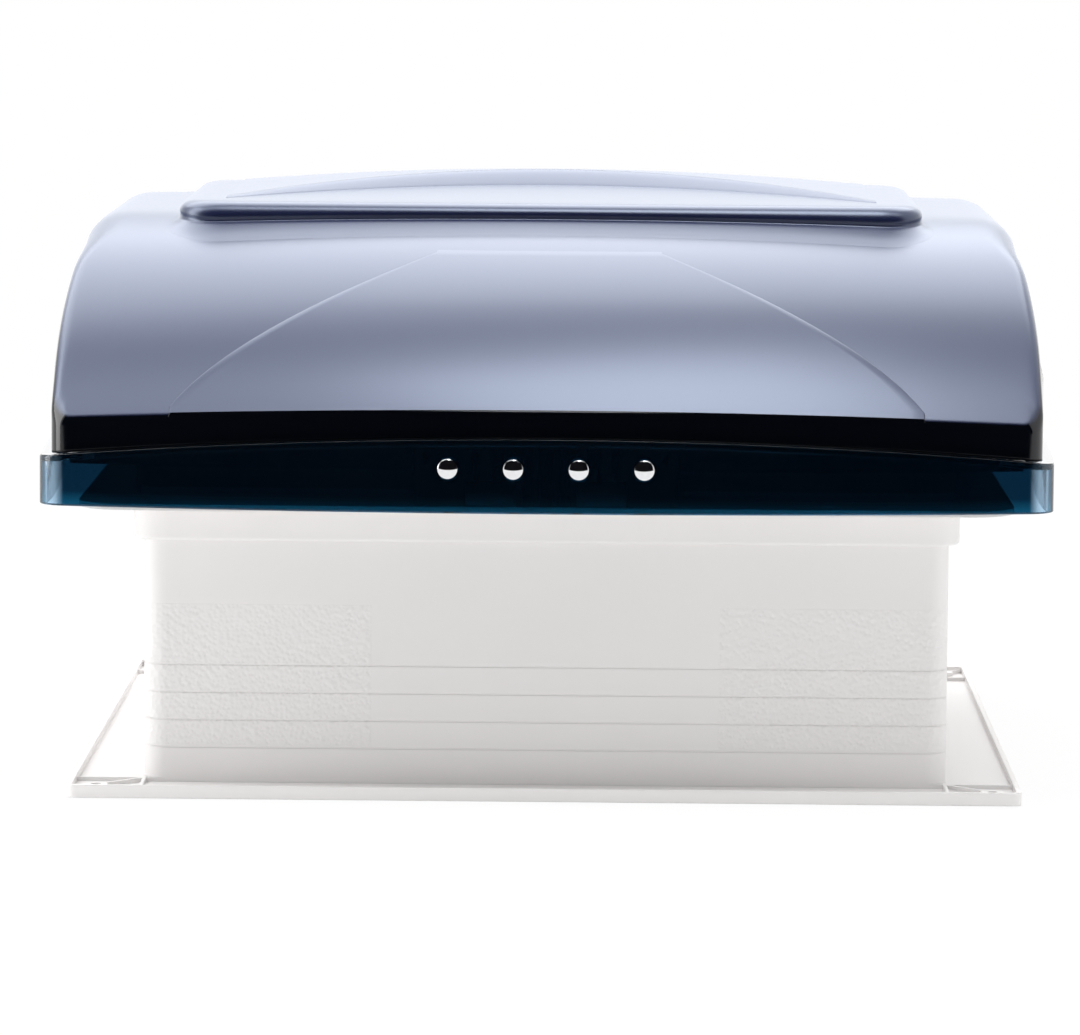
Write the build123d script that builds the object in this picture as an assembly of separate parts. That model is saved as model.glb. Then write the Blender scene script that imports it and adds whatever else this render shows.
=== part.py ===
from build123d import *
import os
from math import asin, cos, degrees, radians, sin, sqrt, tan

os.makedirs("parts", exist_ok=True)

# The vent stands on its ceiling flange. +Z is up through the roof, the hinge side faces -Y.

# Gaps and cuts
run_gap = 0.3
pin_gap = 0.05
overrun = 5.0
far_cut = 600.0
slope_depth = 500.0
slope_toe = 20.0
rear_toe = 10.0

# Ceiling frame: a neck that slides up inside the roof frame, with a flange that covers the ceiling cut-out
neck_inset = 46.5
neck_wall = 2.5
neck_corner = 10.0
flange_reach = 30.5
flange_field = 2.6
flange_rim = 5.5
rim_wall = 2.2
flange_corner = 4.0
rib_wall = 1.6
rib_drop = 1.2
ceiling_hole_inset = 12.0
ceiling_hole_r = 2.2
ceiling_boss_r = 5.0
score_pitch = 12.0
score_first = 17.5
score_count = 4
score_depth = 0.2
score_height = 0.6

# Roof frame: a spigot that drops through the roof, a flange on the roof skin and a kerb inside the lid
roof_z = 123.2
spigot_wall = 4.2
spigot_drop = 15.3
spigot_round = 1.5
roof_flange_reach = 26.5
roof_flange = 2.8
roof_flange_corner = 20.0
kerb_wall = 3.5
kerb_height = 11.0
roof_hole_spread = 240.0
roof_hole_inset = 13.0
roof_hole_r = 2.25

# Kerb seal
seal_leg = 1.5
seal_leg_drop = 6.0

# Lid, lower moulding
skirt_half_depth = 220.0
skirt_extra_width = 1.5
side_bow = 5.2
front_plan_r = 1200.0
skirt_corner = 13.0
lid_wall = 3.0
skirt_bottom = 125.0
ledge_z = 156.7
ledge_arch_r = 2209.0
ledge_width = 5.5
ledge_web = 14.0
step_wall = 3.0
lid_flange_z = 142.0
lid_flange = 3.0
lid_flange_overlap = 15.5

# Lid, upper moulding
hood_corner = 11.0
slope_plan_r = 950.0
ridge_z = 167.4
slope_r = 230.0
slope_foot_angle = 48.0
rear_r = 110.0
rear_foot_angle = 72.0
top_crown_r = 9300.0
ridge_round = 1.2
hood_edge_room = 24.0
hood_side_inset = 10.0
side_turn_z = 185.0
side_turn_r = 210.0
shoulder_r = 10.0
front_sweep_angle = 64.0
rear_sweep_angle = 44.0
flare_inset = 32.0
flare_bend_share = 0.4
flare_top_z = 197.0
flare_turn_z = 163.0

# Raised panel on the front slope
panel_rise = 0.8
panel_inset = 50.0
panel_foot_z = 165.5
panel_mid_inset = 65.5
panel_mid_z = 210.0
panel_top_inset = 112.5
panel_top_z = 229.0

# Air deflector on top of the hood, with a crest behind a curved step
deflector_inset = 46.5
deflector_front_reach = 90.0
deflector_rear_reach = 100.0
deflector_rise = 5.0
deflector_corner = 20.0
deflector_round = 4.0
crest_rise = 6.5
crest_inset = 15.0
crest_foot_rear = 69.0
crest_foot_inset = 5.0
crest_foot_front = 59.5

# Liner inside the lid
liner_wall = 2.0
liner_rise = 36.0
liner_draft = 12.0
liner_top_round = 16.0
liner_corner = 22.0
liner_screw_inset = 5.0
liner_row_reach = 20.0
liner_screw_shares = (0.25, 0.75)

# Hinge
hinge_z = 135.0
hinge_inset = 6.5
knuckle_r = 2.7
hinge_pin_r = 1.2
hinge_length = 111.6
hinge_centre_half = 12.7
hinge_arm_length = 20.7
block_back = 7.5
block_top = 152.5
block_drop = 7.0
block_clear = 4.0
base_length = 84.0
base_plate = 2.5
base_edge = 1.0
base_depth = 21.0
base_screw_spread = 60.0

# Small screws, used all over
screw_r = 2.0
screw_head_r = 4.0
screw_head = 2.2

# Dome screws through the front of the lid
dome_pitch = 27.6
dome_count = 4
dome_z = 143.9
dome_r = 5.1
dome_height = 2.4
dome_seat = 0.9
nut_flats_r = 4.0
nut_height = 3.2
nut_thread_out = 0.8

# Stays
stay_end_room = 47.0
lid_open_angle = 50.0
stay_width = 12.0
stay_thick = 3.0
stay_side_gap = 3.5
stay_bolt_r = 3.0
shoe_pin_r = 2.0
boss_r = 6.0
bracket_plate = 2.0
bracket_half = 22.0
bolt_reach = 9.5
knob_r = 10.0
knob_length = 14.2
knob_lobe_r = 3.4
knob_lobes = 6
knob_round = 1.5
bolt_tip_gap = 1.0

# Stay rails and shoes
rail_inset = 1.0
rail_width = 9.7
rail_near_room = 13.5
rail_far_room = 12.0
rail_end = 10.0
rail_wall = 2.0
rail_cavity = 9.0
rail_slot = 5.0
shoe_half_length = 9.0
shoe_head_r = 3.6
shoe_head = 2.0
rail_screw_r = 1.5
rail_screw_head_r = 3.0

# Turn catches at the rear
catch_x = 95.0
catch_inset = 5.5
catch_spindle_r = 3.2
catch_screw_r = 1.5
catch_tongue = 6.4
catch_tongue_thick = 3.5
catch_tongue_half = 3.2
catch_foot_z = 113.0
catch_tongue_z = 127.0
catch_grip = 30.0
catch_grip_height = 11.0
catch_grip_thick = 4.0
keeper_plate = 2.0
keeper_half = 12.0
keeper_lip = 4.0
keeper_lip_thick = 2.0
keeper_top_drop = 1.0

# Pull handle at the rear
handle_half = 48.0
handle_r = 4.0
handle_drop = 26.0
handle_bend = 10.0
handle_foot_r = 7.0
handle_foot = 3.0
handle_inset = 5.5

# Insect screen in the neck
screen_z = 1.0
screen_height = 6.0
screen_bar = 9.0
screen_gap = 0.4
screen_rib = 3.0
screen_ribs = 2
mesh_thick = 0.6
mesh_z = 3.0
snap_length = 18.0
snap_rise = 0.8
snap_recess = 1.0
snap_height = 2.0
snap_spread = 200.0

# Places worked out from the sizes above
neck_half = skirt_half_depth - neck_inset
throat_half = neck_half - neck_wall
spigot_inner = neck_half + run_gap
spigot_outer = spigot_inner + spigot_wall
flange_half = neck_half + flange_reach
roof_flange_half = neck_half + roof_flange_reach
flange_top_z = roof_z + roof_flange
kerb_outer = throat_half + kerb_wall
kerb_top = flange_top_z + kerb_height
skirt_half_width = skirt_half_depth + skirt_extra_width
hood_half_depth = skirt_half_depth - ledge_width
skirt_corner_half = skirt_half_width - side_bow
hood_side_half = skirt_half_width - hood_side_inset
flare_front = skirt_half_depth - flare_inset
lid_flange_inner = neck_half - lid_flange_overlap
hinge_y = -skirt_half_depth + hinge_inset
base_front = roof_flange_half - base_edge
base_rear = base_front - base_depth
stay_length = (neck_half - hinge_y - stay_end_room) / 2
stay_inner = lid_flange_inner - stay_side_gap
bolt_inner = stay_inner - bolt_reach
rail_inner = lid_flange_inner + rail_inset
rail_outer = rail_inner + rail_width
rail_near = 2 * stay_length * cos(radians(lid_open_angle)) - rail_near_room
rail_far = 2 * stay_length + rail_far_room
arch_centre_z = ledge_z - ledge_arch_r
pivot_y = hinge_y + stay_length
rest_pin_y = hinge_y + 2 * stay_length
slope_foot = radians(slope_foot_angle)
slope_centre_z = ridge_z - slope_r * cos(slope_foot)
top_z = slope_centre_z + slope_r
slope_run = slope_r * sin(slope_foot)
rear_run = rear_r * sin(radians(rear_foot_angle))
deflector_z = top_z + deflector_rise
deflector_foot_z = (ridge_z + top_z) / 2
deflector_half = hood_side_half - deflector_inset
crest_half = deflector_half - crest_inset
crest_foot_half = crest_half - crest_foot_inset
panel_foot_half = hood_side_half - panel_inset
panel_mid_half = panel_foot_half - panel_mid_inset
panel_top_half = panel_foot_half - panel_top_inset
low_z = lid_flange_z
block_foot = hinge_z - block_drop


def block(x0, x1, y0, y1, z0, z1):
    """A box between two corners."""
    middle = Pos((x0 + x1) / 2, (y0 + y1) / 2, (z0 + z1) / 2)
    return middle * Box(x1 - x0, y1 - y0, z1 - z0)


def square_prism(half, corner, z0, z1):
    """An upright prism on a square with round corners."""
    return Pos(0, 0, z0) * extrude(RectangleRounded(2 * half, 2 * half, corner), amount=z1 - z0)


def square_ring(outer, inner, corner, z0, z1):
    """A square tube with round corners and an even wall."""
    inner_corner = max(corner - (outer - inner), screw_r)
    hole = square_prism(inner, inner_corner, z0 - overrun, z1 + overrun)
    return square_prism(outer, corner, z0, z1) - hole


def rod_x(radius, x0, x1, y, z):
    """A round rod along X."""
    return Pos((x0 + x1) / 2, y, z) * Rot(0, 90, 0) * Cylinder(radius, abs(x1 - x0))


def rod_y(radius, x, y0, y1, z):
    """A round rod along Y."""
    return Pos(x, (y0 + y1) / 2, z) * Rot(90, 0, 0) * Cylinder(radius, abs(y1 - y0))


def rod_z(radius, x, y, z0, z1):
    """A round rod along Z."""
    return Pos(x, y, (z0 + z1) / 2) * Cylinder(radius, abs(z1 - z0))


def group(shapes):
    """Several solids as one shape for one node."""
    return Compound(children=[solid for shape in shapes for solid in shape.solids()])


def one_solid(shape):
    """The solid of a boolean result, without its wrapper."""
    solids = shape.solids()
    return solids[0] if len(solids) == 1 else Compound(children=solids)


def other_side(shape):
    """The same piece on the other side of the vent."""
    return mirror(shape, about=Plane.YZ)


def pan_screw(x, y, seat_z, tip_z, radius=screw_r, head_r=screw_head_r):
    """A pan-head screw that points down."""
    return rod_z(head_r, x, y, seat_z, seat_z + screw_head) + rod_z(radius, x, y, tip_z, seat_z)


def plan_outline(half_depth, corner_half, middle_half, corner):
    """The lid's outline from above: bowed front, rear and sides with round corners."""
    corner_y = half_depth - corner_half**2 / (2 * front_plan_r)
    front = ThreePointArc((-corner_half, -corner_y), (0, -half_depth), (corner_half, -corner_y))
    right = ThreePointArc((corner_half, -corner_y), (middle_half, 0), (corner_half, corner_y))
    rear = ThreePointArc((corner_half, corner_y), (0, half_depth), (-corner_half, corner_y))
    left = ThreePointArc((-corner_half, corner_y), (-middle_half, 0), (-corner_half, -corner_y))
    outline = make_face(front + right + rear + left)
    return fillet(outline.vertices(), corner)


def skirt_prism(inset, z0, z1):
    """The upright prism of the skirt's outline, drawn in by an inset."""
    corner = max(skirt_corner - inset, lid_wall)
    corner_half, middle_half = skirt_corner_half - inset, skirt_half_width - inset
    outline = plan_outline(skirt_half_depth - inset, corner_half, middle_half, corner)
    return Pos(0, 0, z0) * extrude(outline, amount=z1 - z0)


def hood_prism(inset, z0, z1):
    """The upright prism of the hood's nose and sides, drawn in by an inset."""
    half = hood_side_half - inset
    outline = plan_outline(hood_half_depth - inset, half, half + side_bow, hood_corner - inset)
    return Pos(0, 0, z0) * extrude(outline, amount=z1 - z0)


def arch_block(drop):
    """Everything under the arched ledge, lowered by a drop."""
    radius = ledge_arch_r
    return Pos(0, 0, arch_centre_z - drop) * Rot(90, 0, 0) * Cylinder(radius, far_cut)


def front_slope(inset):
    """The hood's front slope and top, turned about a far upright axis."""
    plan_r = slope_plan_r
    arc_r = slope_r - inset
    foot_run = plan_r - slope_run + arc_r * sin(slope_foot)
    foot = (-foot_run, slope_centre_z + arc_r * cos(slope_foot))
    middle_angle = slope_foot / 2
    middle_run = plan_r - slope_run + arc_r * sin(middle_angle)
    middle = (-middle_run, slope_centre_z + arc_r * cos(middle_angle))
    crown = (-(plan_r - slope_run), top_z - inset)
    toe = (foot[0] - slope_toe, foot[1] - slope_toe * tan(slope_foot))
    inner = slope_depth - plan_r
    slope = ThreePointArc(foot, middle, crown)
    base_z = low_z - overrun
    rest = Polyline(crown, (inner, top_z - inset), (inner, base_z), (toe[0], base_z), toe, foot)
    face = make_face(Plane.YZ * (slope + rest))
    turned = revolve(face, Axis.Z, front_sweep_angle)
    return Pos(0, -hood_half_depth + plan_r, 0) * Rot(0, 0, -front_sweep_angle / 2) * turned


def rear_slope(inset):
    """The hood's rear end and top, turned about a far upright axis."""
    plan_r = front_plan_r
    angle = radians(rear_foot_angle)
    arc_r = rear_r - inset
    centre_z = top_z - rear_r
    foot = (plan_r - rear_run + arc_r * sin(angle), centre_z + arc_r * cos(angle))
    middle = (plan_r - rear_run + arc_r * sin(angle / 2), centre_z + arc_r * cos(angle / 2))
    crown = (plan_r - rear_run, top_z - inset)
    toe = (foot[0] + rear_toe, foot[1] - rear_toe * tan(angle))
    inner = plan_r - slope_depth
    slope = ThreePointArc(foot, middle, crown)
    base_z = low_z - overrun
    rest = Polyline(crown, (inner, top_z - inset), (inner, base_z), (toe[0], base_z), toe, foot)
    face = make_face(Plane.YZ * (slope + rest))
    turned = revolve(face, Axis.Z, rear_sweep_angle)
    return Pos(0, hood_half_depth - plan_r, 0) * Rot(0, 0, -rear_sweep_angle / 2) * turned


def side_outline(half, turn_z, turn_r, crown_z, round_r):
    """The hood seen from the front: sides that turn in, round shoulders and a slightly crowned top."""
    rise = crown_z - turn_z
    shoulder_half = half - turn_r + sqrt(turn_r**2 - rise**2)
    rim_z = crown_z - shoulder_half**2 / (2 * top_crown_r)
    rise = rim_z - turn_z
    shoulder_half = half - turn_r + sqrt(turn_r**2 - rise**2)
    mid_rise = rise / 2
    mid_half = half - turn_r + sqrt(turn_r**2 - mid_rise**2)
    floor_z = low_z - overrun
    right = Line((half, floor_z), (half, turn_z)) + ThreePointArc(
        (half, turn_z), (mid_half, turn_z + mid_rise), (shoulder_half, rim_z)
    )
    top = ThreePointArc((shoulder_half, rim_z), (0, crown_z), (-shoulder_half, rim_z))
    left = ThreePointArc(
        (-shoulder_half, rim_z), (-mid_half, turn_z + mid_rise), (-half, turn_z)
    ) + Line((-half, turn_z), (-half, floor_z))
    base = Line((-half, floor_z), (half, floor_z))
    outline = make_face(right + top + left + base)
    upper = [v for v in outline.vertices() if v.Y > turn_z + mid_rise]
    return fillet(upper, round_r)


def along_y(outline, y0, y1):
    """An outline drawn as seen from the front, carried along Y."""
    return extrude(Plane.XZ.offset(-y1) * outline, amount=y1 - y0)


def hood_body(inset):
    """The hood without its deflector, as a filled form drawn in by an inset."""
    half, turn_r, crown_z = hood_side_half - inset, side_turn_r - inset, top_z - inset
    sides = side_outline(half, side_turn_z, turn_r, crown_z, shoulder_r - inset)
    body = hood_prism(inset, low_z - overrun / 2, top_z + overrun) & front_slope(inset)
    return body & along_y(sides, -far_cut / 2, far_cut / 2) & rear_slope(inset)


def edges_near(body, y, z):
    """The edges of a body whose middles lie within a small box on y and z."""
    room = hood_edge_room
    return [
        edge for edge in body.edges()
        if abs(edge.center().Y - y) < room and abs(edge.center().Z - z) < room
    ]


def rounded_hood():
    """The outside of the hood with its ridge over the nose rounded."""
    body = one_solid(hood_body(0))
    return fillet(edges_near(body, -hood_half_depth, ridge_z), ridge_round)


def hood_flare(inset):
    """The lower sides of the hood, bowed out to the skirt behind its nose, drawn in by an inset."""
    reach = flare_front - inset
    edge = hood_side_half - inset - lid_wall
    outer = skirt_half_width - inset
    right_bow = ThreePointArc((edge, -reach), (outer, 0), (edge, reach))
    left_bow = ThreePointArc((-edge, reach), (-outer, 0), (-edge, -reach))
    front, rear = Line((-edge, -reach), (edge, -reach)), Line((edge, reach), (-edge, reach))
    plan = make_face(front + right_bow + rear + left_bow)
    upright = Pos(0, 0, low_z - overrun / 2) * extrude(plan, amount=flare_top_z - low_z + overrun)
    foot_z = low_z - overrun
    bend = (flare_top_z - flare_turn_z) * flare_bend_share
    right_side = Bezier(
        (outer, flare_turn_z), (outer, flare_turn_z + bend),
        (edge, flare_top_z - bend), (edge, flare_top_z),
    )
    left_side = Bezier(
        (-edge, flare_top_z), (-edge, flare_top_z - bend),
        (-outer, flare_turn_z + bend), (-outer, flare_turn_z),
    )
    upper = Line((edge, flare_top_z), (-edge, flare_top_z))
    lower = Polyline((-outer, flare_turn_z), (-outer, foot_z), (outer, foot_z), (outer, flare_turn_z))
    front_view = make_face(right_side + upper + left_side + lower)
    body = skirt_prism(inset, low_z - overrun / 2, top_z) & upright
    body = body & along_y(front_view, -far_cut / 2, far_cut / 2)
    return body & front_slope(inset) & rear_slope(inset)


def deflector(inset):
    """The low platform on top of the hood, drawn in by an inset."""
    width = 2 * (deflector_half - inset)
    depth = deflector_front_reach + deflector_rear_reach - 2 * inset
    plan = RectangleRounded(width, depth, deflector_corner - inset)
    middle_y = (deflector_rear_reach - deflector_front_reach) / 2
    height = deflector_z - inset - deflector_foot_z
    body = Pos(0, middle_y, deflector_foot_z) * extrude(plan, amount=height)
    rim = body.faces().sort_by(Axis.Z)[-1].edges()
    return fillet(rim, deflector_round - inset / 2)


def crest(inset):
    """The crowned rear of the deflector behind its curved step."""
    half = crest_half - inset
    rise = crest_rise
    base_z = deflector_z - inset
    skirt_z = base_z - deflector_round
    bow = ThreePointArc((half, base_z), (0, base_z + rise), (-half, base_z))
    under = Polyline((-half, base_z), (-half, skirt_z), (half, skirt_z), (half, base_z))
    body = along_y(make_face(bow + under), -crest_foot_front, deflector_rear_reach - deflector_round)
    lift = crest_foot_rear + crest_foot_front
    front_y = -crest_foot_front
    left, right = (-crest_foot_half, front_y), (crest_foot_half, front_y)
    step = Bezier(left, (0, crest_foot_rear + lift + inset), right)
    far_y = deflector_rear_reach + overrun
    wide = deflector_half + overrun
    close = Polyline(right, (wide, front_y), (wide, far_y), (-wide, far_y), (-wide, front_y), left)
    region = make_face(step + close)
    upright = Pos(0, 0, skirt_z) * extrude(region, amount=rise + 2 * deflector_round)
    return body & upright


def slope_panel():
    """The slightly raised panel low on the front slope."""
    middle = (panel_mid_half, panel_mid_z)
    corners = [(panel_foot_half, panel_foot_z), middle, (panel_top_half, panel_top_z)]
    facing = [(-x, z) for x, z in reversed(corners)]
    right = ThreePointArc(*corners)
    left = ThreePointArc(*facing)
    top = Line(corners[2], facing[0])
    low = ridge_z - slope_toe
    drop = Polyline(facing[2], (-panel_foot_half, low), (panel_foot_half, low), corners[0])
    window = along_y(make_face(right + top + left + drop), -skirt_half_depth, -slope_run / 3)
    raised = front_slope(-panel_rise) & window
    return raised & hood_prism(0, low, top_z)


def lid_hood():
    outer = rounded_hood() + hood_flare(0) + deflector(0) + crest(0) + slope_panel()
    inner = hood_body(lid_wall) + hood_flare(lid_wall) + deflector(lid_wall)
    return one_solid(outer - inner - arch_block(0))


def lid_skirt():
    wall = skirt_prism(0, skirt_bottom, ledge_z)
    wall = wall - skirt_prism(lid_wall, skirt_bottom - overrun, ledge_z + overrun)
    web = skirt_prism(0, lid_flange_z, ledge_z)
    web = web - skirt_prism(ledge_web, lid_flange_z - overrun, ledge_z + overrun)
    web = web - arch_block(lid_wall)
    step_outer = ledge_web + step_wall
    step = skirt_prism(ledge_web, lid_flange_z, ledge_z)
    step = step - skirt_prism(step_outer, lid_flange_z - overrun, ledge_z + overrun)
    flange = skirt_prism(ledge_web, lid_flange_z, lid_flange_z + lid_flange)
    flange = flange - square_prism(lid_flange_inner, liner_corner, lid_flange_z - overrun, ledge_z)
    body = (wall + web + step + flange) & arch_block(0)
    for x in dome_places():
        face_y = -skirt_half_depth + x**2 / (2 * front_plan_r) + dome_seat
        body = body - rod_y(dome_r + run_gap, x, -skirt_half_depth - overrun, face_y, dome_z)
        body = body - rod_y(screw_r, x, -skirt_half_depth - overrun, -skirt_half_depth + 2 * lid_wall, dome_z)
    for x, y in liner_screw_places():
        body = body - rod_z(screw_r, x, y, lid_flange_z - overrun, ledge_z)
    for x, y in rail_screw_places():
        body = body - rod_z(rail_screw_r, x, y, lid_flange_z - overrun, ledge_z)
    for x in (-catch_x, catch_x):
        body = body - rod_z(catch_screw_r, x, lid_flange_inner + catch_inset, lid_flange_z - overrun, ledge_z)
    for x in (-handle_half, handle_half):
        body = body - rod_z(screw_r, x, lid_flange_inner + handle_inset, lid_flange_z - overrun, ledge_z)
    return one_solid(body)


def dome_places():
    """Places along X of the dome screws."""
    return [(i - (dome_count - 1) / 2) * dome_pitch for i in range(dome_count)]


def liner_screw_places():
    """Screws through the liner's flange, along the front and rear and at the four side ends."""
    row = lid_flange_inner + liner_row_reach + liner_screw_inset
    sides = (-1, 1)
    near, far = [row * share for share in liner_screw_shares]
    spots = [(side * x, end * row) for end in sides for side in sides for x in (near, far)]
    return spots + [(side * row, end * far) for end in sides for side in sides]


def rail_screw_places():
    """Screws down through the lid's flange into the stay rails."""
    x = (rail_inner + rail_outer) / 2
    first = hinge_y + rail_near + rail_end
    last = hinge_y + rail_far - rail_end
    spots = (first, (first + last) / 2, last)
    return [(side * x, y) for side in (-1, 1) for y in spots]


def lid_liner():
    base_z = lid_flange_z + lid_flange
    flange = skirt_prism(ledge_web + step_wall + run_gap, base_z, base_z + liner_wall)
    foot = lid_flange_inner + liner_wall
    outer = liner_dome(foot, base_z, liner_rise)
    inner = liner_dome(lid_flange_inner, base_z - overrun, liner_rise + overrun - liner_wall)
    body = flange + outer - inner
    for x, y in liner_screw_places():
        body = body - rod_z(screw_r, x, y, base_z - overrun, base_z + overrun)
    for x, y in rail_screw_places():
        body = body - rod_z(rail_screw_r, x, y, base_z - overrun, base_z + overrun)
    low, high = base_z - overrun, base_z + overrun
    for x in (-catch_x, catch_x):
        body = body - rod_z(catch_screw_r, x, lid_flange_inner + catch_inset, low, high)
    for x in (-handle_half, handle_half):
        body = body - rod_z(screw_r, x, lid_flange_inner + handle_inset, low, high)
    return one_solid(body)


def liner_dome(foot_half, z0, rise):
    """A filled shallow dome with drafted walls and a round top edge."""
    low = Pos(0, 0, z0) * RectangleRounded(2 * foot_half, 2 * foot_half, liner_corner)
    top_half = foot_half - liner_draft
    high = Pos(0, 0, z0 + rise) * RectangleRounded(2 * top_half, 2 * top_half, liner_corner)
    body = loft([low.faces()[0], high.faces()[0]])
    rim = body.faces().sort_by(Axis.Z)[-1].edges()
    return fillet(rim, liner_top_round - liner_wall)


def score_groove(z):
    """The cutter for one shallow groove round the neck, a guide for cutting it down to a thin roof."""
    outer = neck_half + overrun
    inner = neck_half - score_depth
    return square_ring(outer, inner, neck_corner + overrun, z, z + score_height)


def ceiling_frame():
    half = flange_half
    tray = square_prism(half, flange_corner, 0, flange_rim)
    tray = tray - square_prism(half - rim_wall, flange_corner - rim_wall, flange_field, flange_rim + overrun)
    rib_top = flange_rim - rib_drop
    spread = neck_half - rib_wall / 2
    for side in (-1, 1):
        reach = half - rim_wall / 2
        low, high = side * spread - rib_wall / 2, side * spread + rib_wall / 2
        along_x = block(-reach, reach, low, high, flange_field / 2, rib_top)
        tray = tray + along_x + Rot(0, 0, 90) * along_x
    reach = sqrt(2) * (half - rim_wall)
    diagonal = block(-reach, reach, -rib_wall / 2, rib_wall / 2, flange_field / 2, rib_top)
    tray = tray + Rot(0, 0, 45) * diagonal + Rot(0, 0, -45) * diagonal
    hole = half - ceiling_hole_inset
    for x in (-hole, hole):
        for y in (-hole, hole):
            tray = tray + rod_z(ceiling_boss_r, x, y, flange_field / 2, rib_top)
    neck = square_prism(neck_half, neck_corner, 0, roof_z)
    body = tray + neck - square_prism(throat_half, neck_corner - neck_wall, -overrun, roof_z + overrun)
    for i in range(score_count):
        body = body - score_groove(score_first + i * score_pitch)
    for x in (-hole, hole):
        for y in (-hole, hole):
            body = body - rod_z(ceiling_hole_r, x, y, -overrun, flange_rim + overrun)
    for x, y in snap_places():
        body = body - snap_block(x, y, snap_recess, run_gap)
    return one_solid(body)


def roof_frame():
    spigot = square_prism(spigot_outer, neck_corner + spigot_wall, roof_z - spigot_drop, flange_top_z)
    foot = spigot.faces().sort_by(Axis.Z)[0].edges()
    spigot = fillet(foot, spigot_round)
    flange = square_prism(roof_flange_half, roof_flange_corner, roof_z, flange_top_z)
    kerb = square_prism(kerb_outer, neck_corner + run_gap, roof_z, kerb_top)
    body = spigot + flange + kerb
    body = body - square_prism(spigot_inner, neck_corner + run_gap, roof_z - spigot_drop - overrun, roof_z)
    body = body - square_prism(throat_half, neck_corner - neck_wall, roof_z - overrun, kerb_top + overrun)
    row = roof_flange_half - roof_hole_inset
    for a in (-roof_hole_spread / 2, roof_hole_spread / 2):
        for b in (-row, row):
            body = body - rod_z(roof_hole_r, a, b, roof_z - overrun, flange_top_z + overrun)
            body = body - rod_z(roof_hole_r, b, a, roof_z - overrun, flange_top_z + overrun)
    for x in base_screw_places():
        body = body - rod_z(screw_r, x, base_screw_y(), roof_z - overrun, flange_top_z + overrun)
    return one_solid(body)


def kerb_seal():
    outer = kerb_outer + seal_leg
    top = lid_flange_z - run_gap
    ring = square_prism(outer, neck_corner + seal_leg, kerb_top - seal_leg_drop, top)
    rim = ring.faces().sort_by(Axis.Z)[-1].edges()
    ring = fillet(rim, seal_leg)
    foot_z = kerb_top - seal_leg_drop - overrun
    ring = ring - square_prism(throat_half, neck_corner - neck_wall, foot_z, top + overrun)
    leg = square_prism(kerb_outer, neck_corner + run_gap, foot_z, kerb_top)
    return one_solid(ring - leg)


def base_screw_places():
    """Places along X of the screws that hold the hinge base."""
    return [-base_screw_spread / 2, 0, base_screw_spread / 2]


def base_screw_y():
    """The row of hinge base screws, between the plate's edges."""
    return -(base_front + base_rear) / 2


def knuckle_arm(x0, x1):
    """One arm of the hinge base, from its plate up to the barrel."""
    plate_top = flange_top_z + base_plate
    barrel = Pos(hinge_y, hinge_z) * Circle(knuckle_r)
    root = -base_front + 2 * knuckle_r
    side_y, side_z = knuckle_r * cos(radians(60)), knuckle_r * sin(radians(60))
    start = (-base_front, flange_top_z)
    upper, lower = (hinge_y + side_y, hinge_z + side_z), (hinge_y - side_y, hinge_z - side_z)
    toe = Polyline(start, (root, flange_top_z), (root, plate_top), upper, lower, start)
    profile = barrel + make_face(toe)
    return Pos(x0, 0, 0) * extrude(Plane.YZ * profile, amount=x1 - x0)


def arm_spans():
    """The two spans along X that the base's arms take."""
    start = hinge_centre_half + run_gap
    return [(start, start + hinge_arm_length), (-start - hinge_arm_length, -start)]


def hinge_base():
    half = base_length / 2
    plate = block(-half, half, -base_front, -base_rear, flange_top_z, flange_top_z + base_plate)
    for x0, x1 in arm_spans():
        plate = plate + knuckle_arm(x0, x1)
    plate = plate - rod_x(hinge_pin_r, -hinge_length / 2, hinge_length / 2, hinge_y, hinge_z)
    for x in base_screw_places():
        plate = plate - rod_z(screw_r, x, base_screw_y(), flange_top_z - overrun, flange_top_z + overrun)
    return one_solid(plate)


def hinge_base_screws():
    seat = flange_top_z + base_plate
    return group([pan_screw(x, base_screw_y(), seat, roof_z + run_gap) for x in base_screw_places()])


def hinge_pin():
    return one_solid(rod_x(hinge_pin_r, -hinge_length / 2, hinge_length / 2, hinge_y, hinge_z))


def hinge_block():
    half = hinge_length / 2
    plate_foot = hinge_z + block_clear
    back_y = -skirt_half_depth + block_back
    plate = block(-half, half, -skirt_half_depth, back_y, plate_foot, block_top)
    start = arm_spans()[0][1] + run_gap
    spans = [(start, half), (-half, -start), (-hinge_centre_half, hinge_centre_half)]
    for x0, x1 in spans:
        plate = plate + block(x0, x1, -skirt_half_depth, back_y, block_foot, plate_foot)
        plate = plate + rod_x(knuckle_r, x0, x1, hinge_y, hinge_z)
    plate = plate & skirt_prism(lid_wall, block_foot - overrun, ledge_z)
    plate = plate - rod_x(hinge_pin_r + pin_gap, -half - overrun, half + overrun, hinge_y, hinge_z)
    for x in dome_places():
        plate = plate - rod_y(screw_r, x, -skirt_half_depth, back_y + overrun, dome_z)
    return one_solid(plate)


def hinge_screws():
    screws = []
    for x in dome_places():
        seat_y = -skirt_half_depth + x**2 / (2 * front_plan_r) + dome_seat
        sphere_r = (dome_r**2 + dome_height**2) / (2 * dome_height)
        dome = Pos(x, seat_y - dome_height + sphere_r, dome_z) * Sphere(sphere_r)
        wide = dome_r + overrun
        front = block(x - wide, x + wide, seat_y - wide, seat_y, dome_z - wide, dome_z + wide)
        dome = dome & front
        tip = -skirt_half_depth + block_back + nut_height + nut_thread_out
        screws.append(dome + rod_y(screw_r, x, seat_y, tip, dome_z))
    return group(screws)


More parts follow.
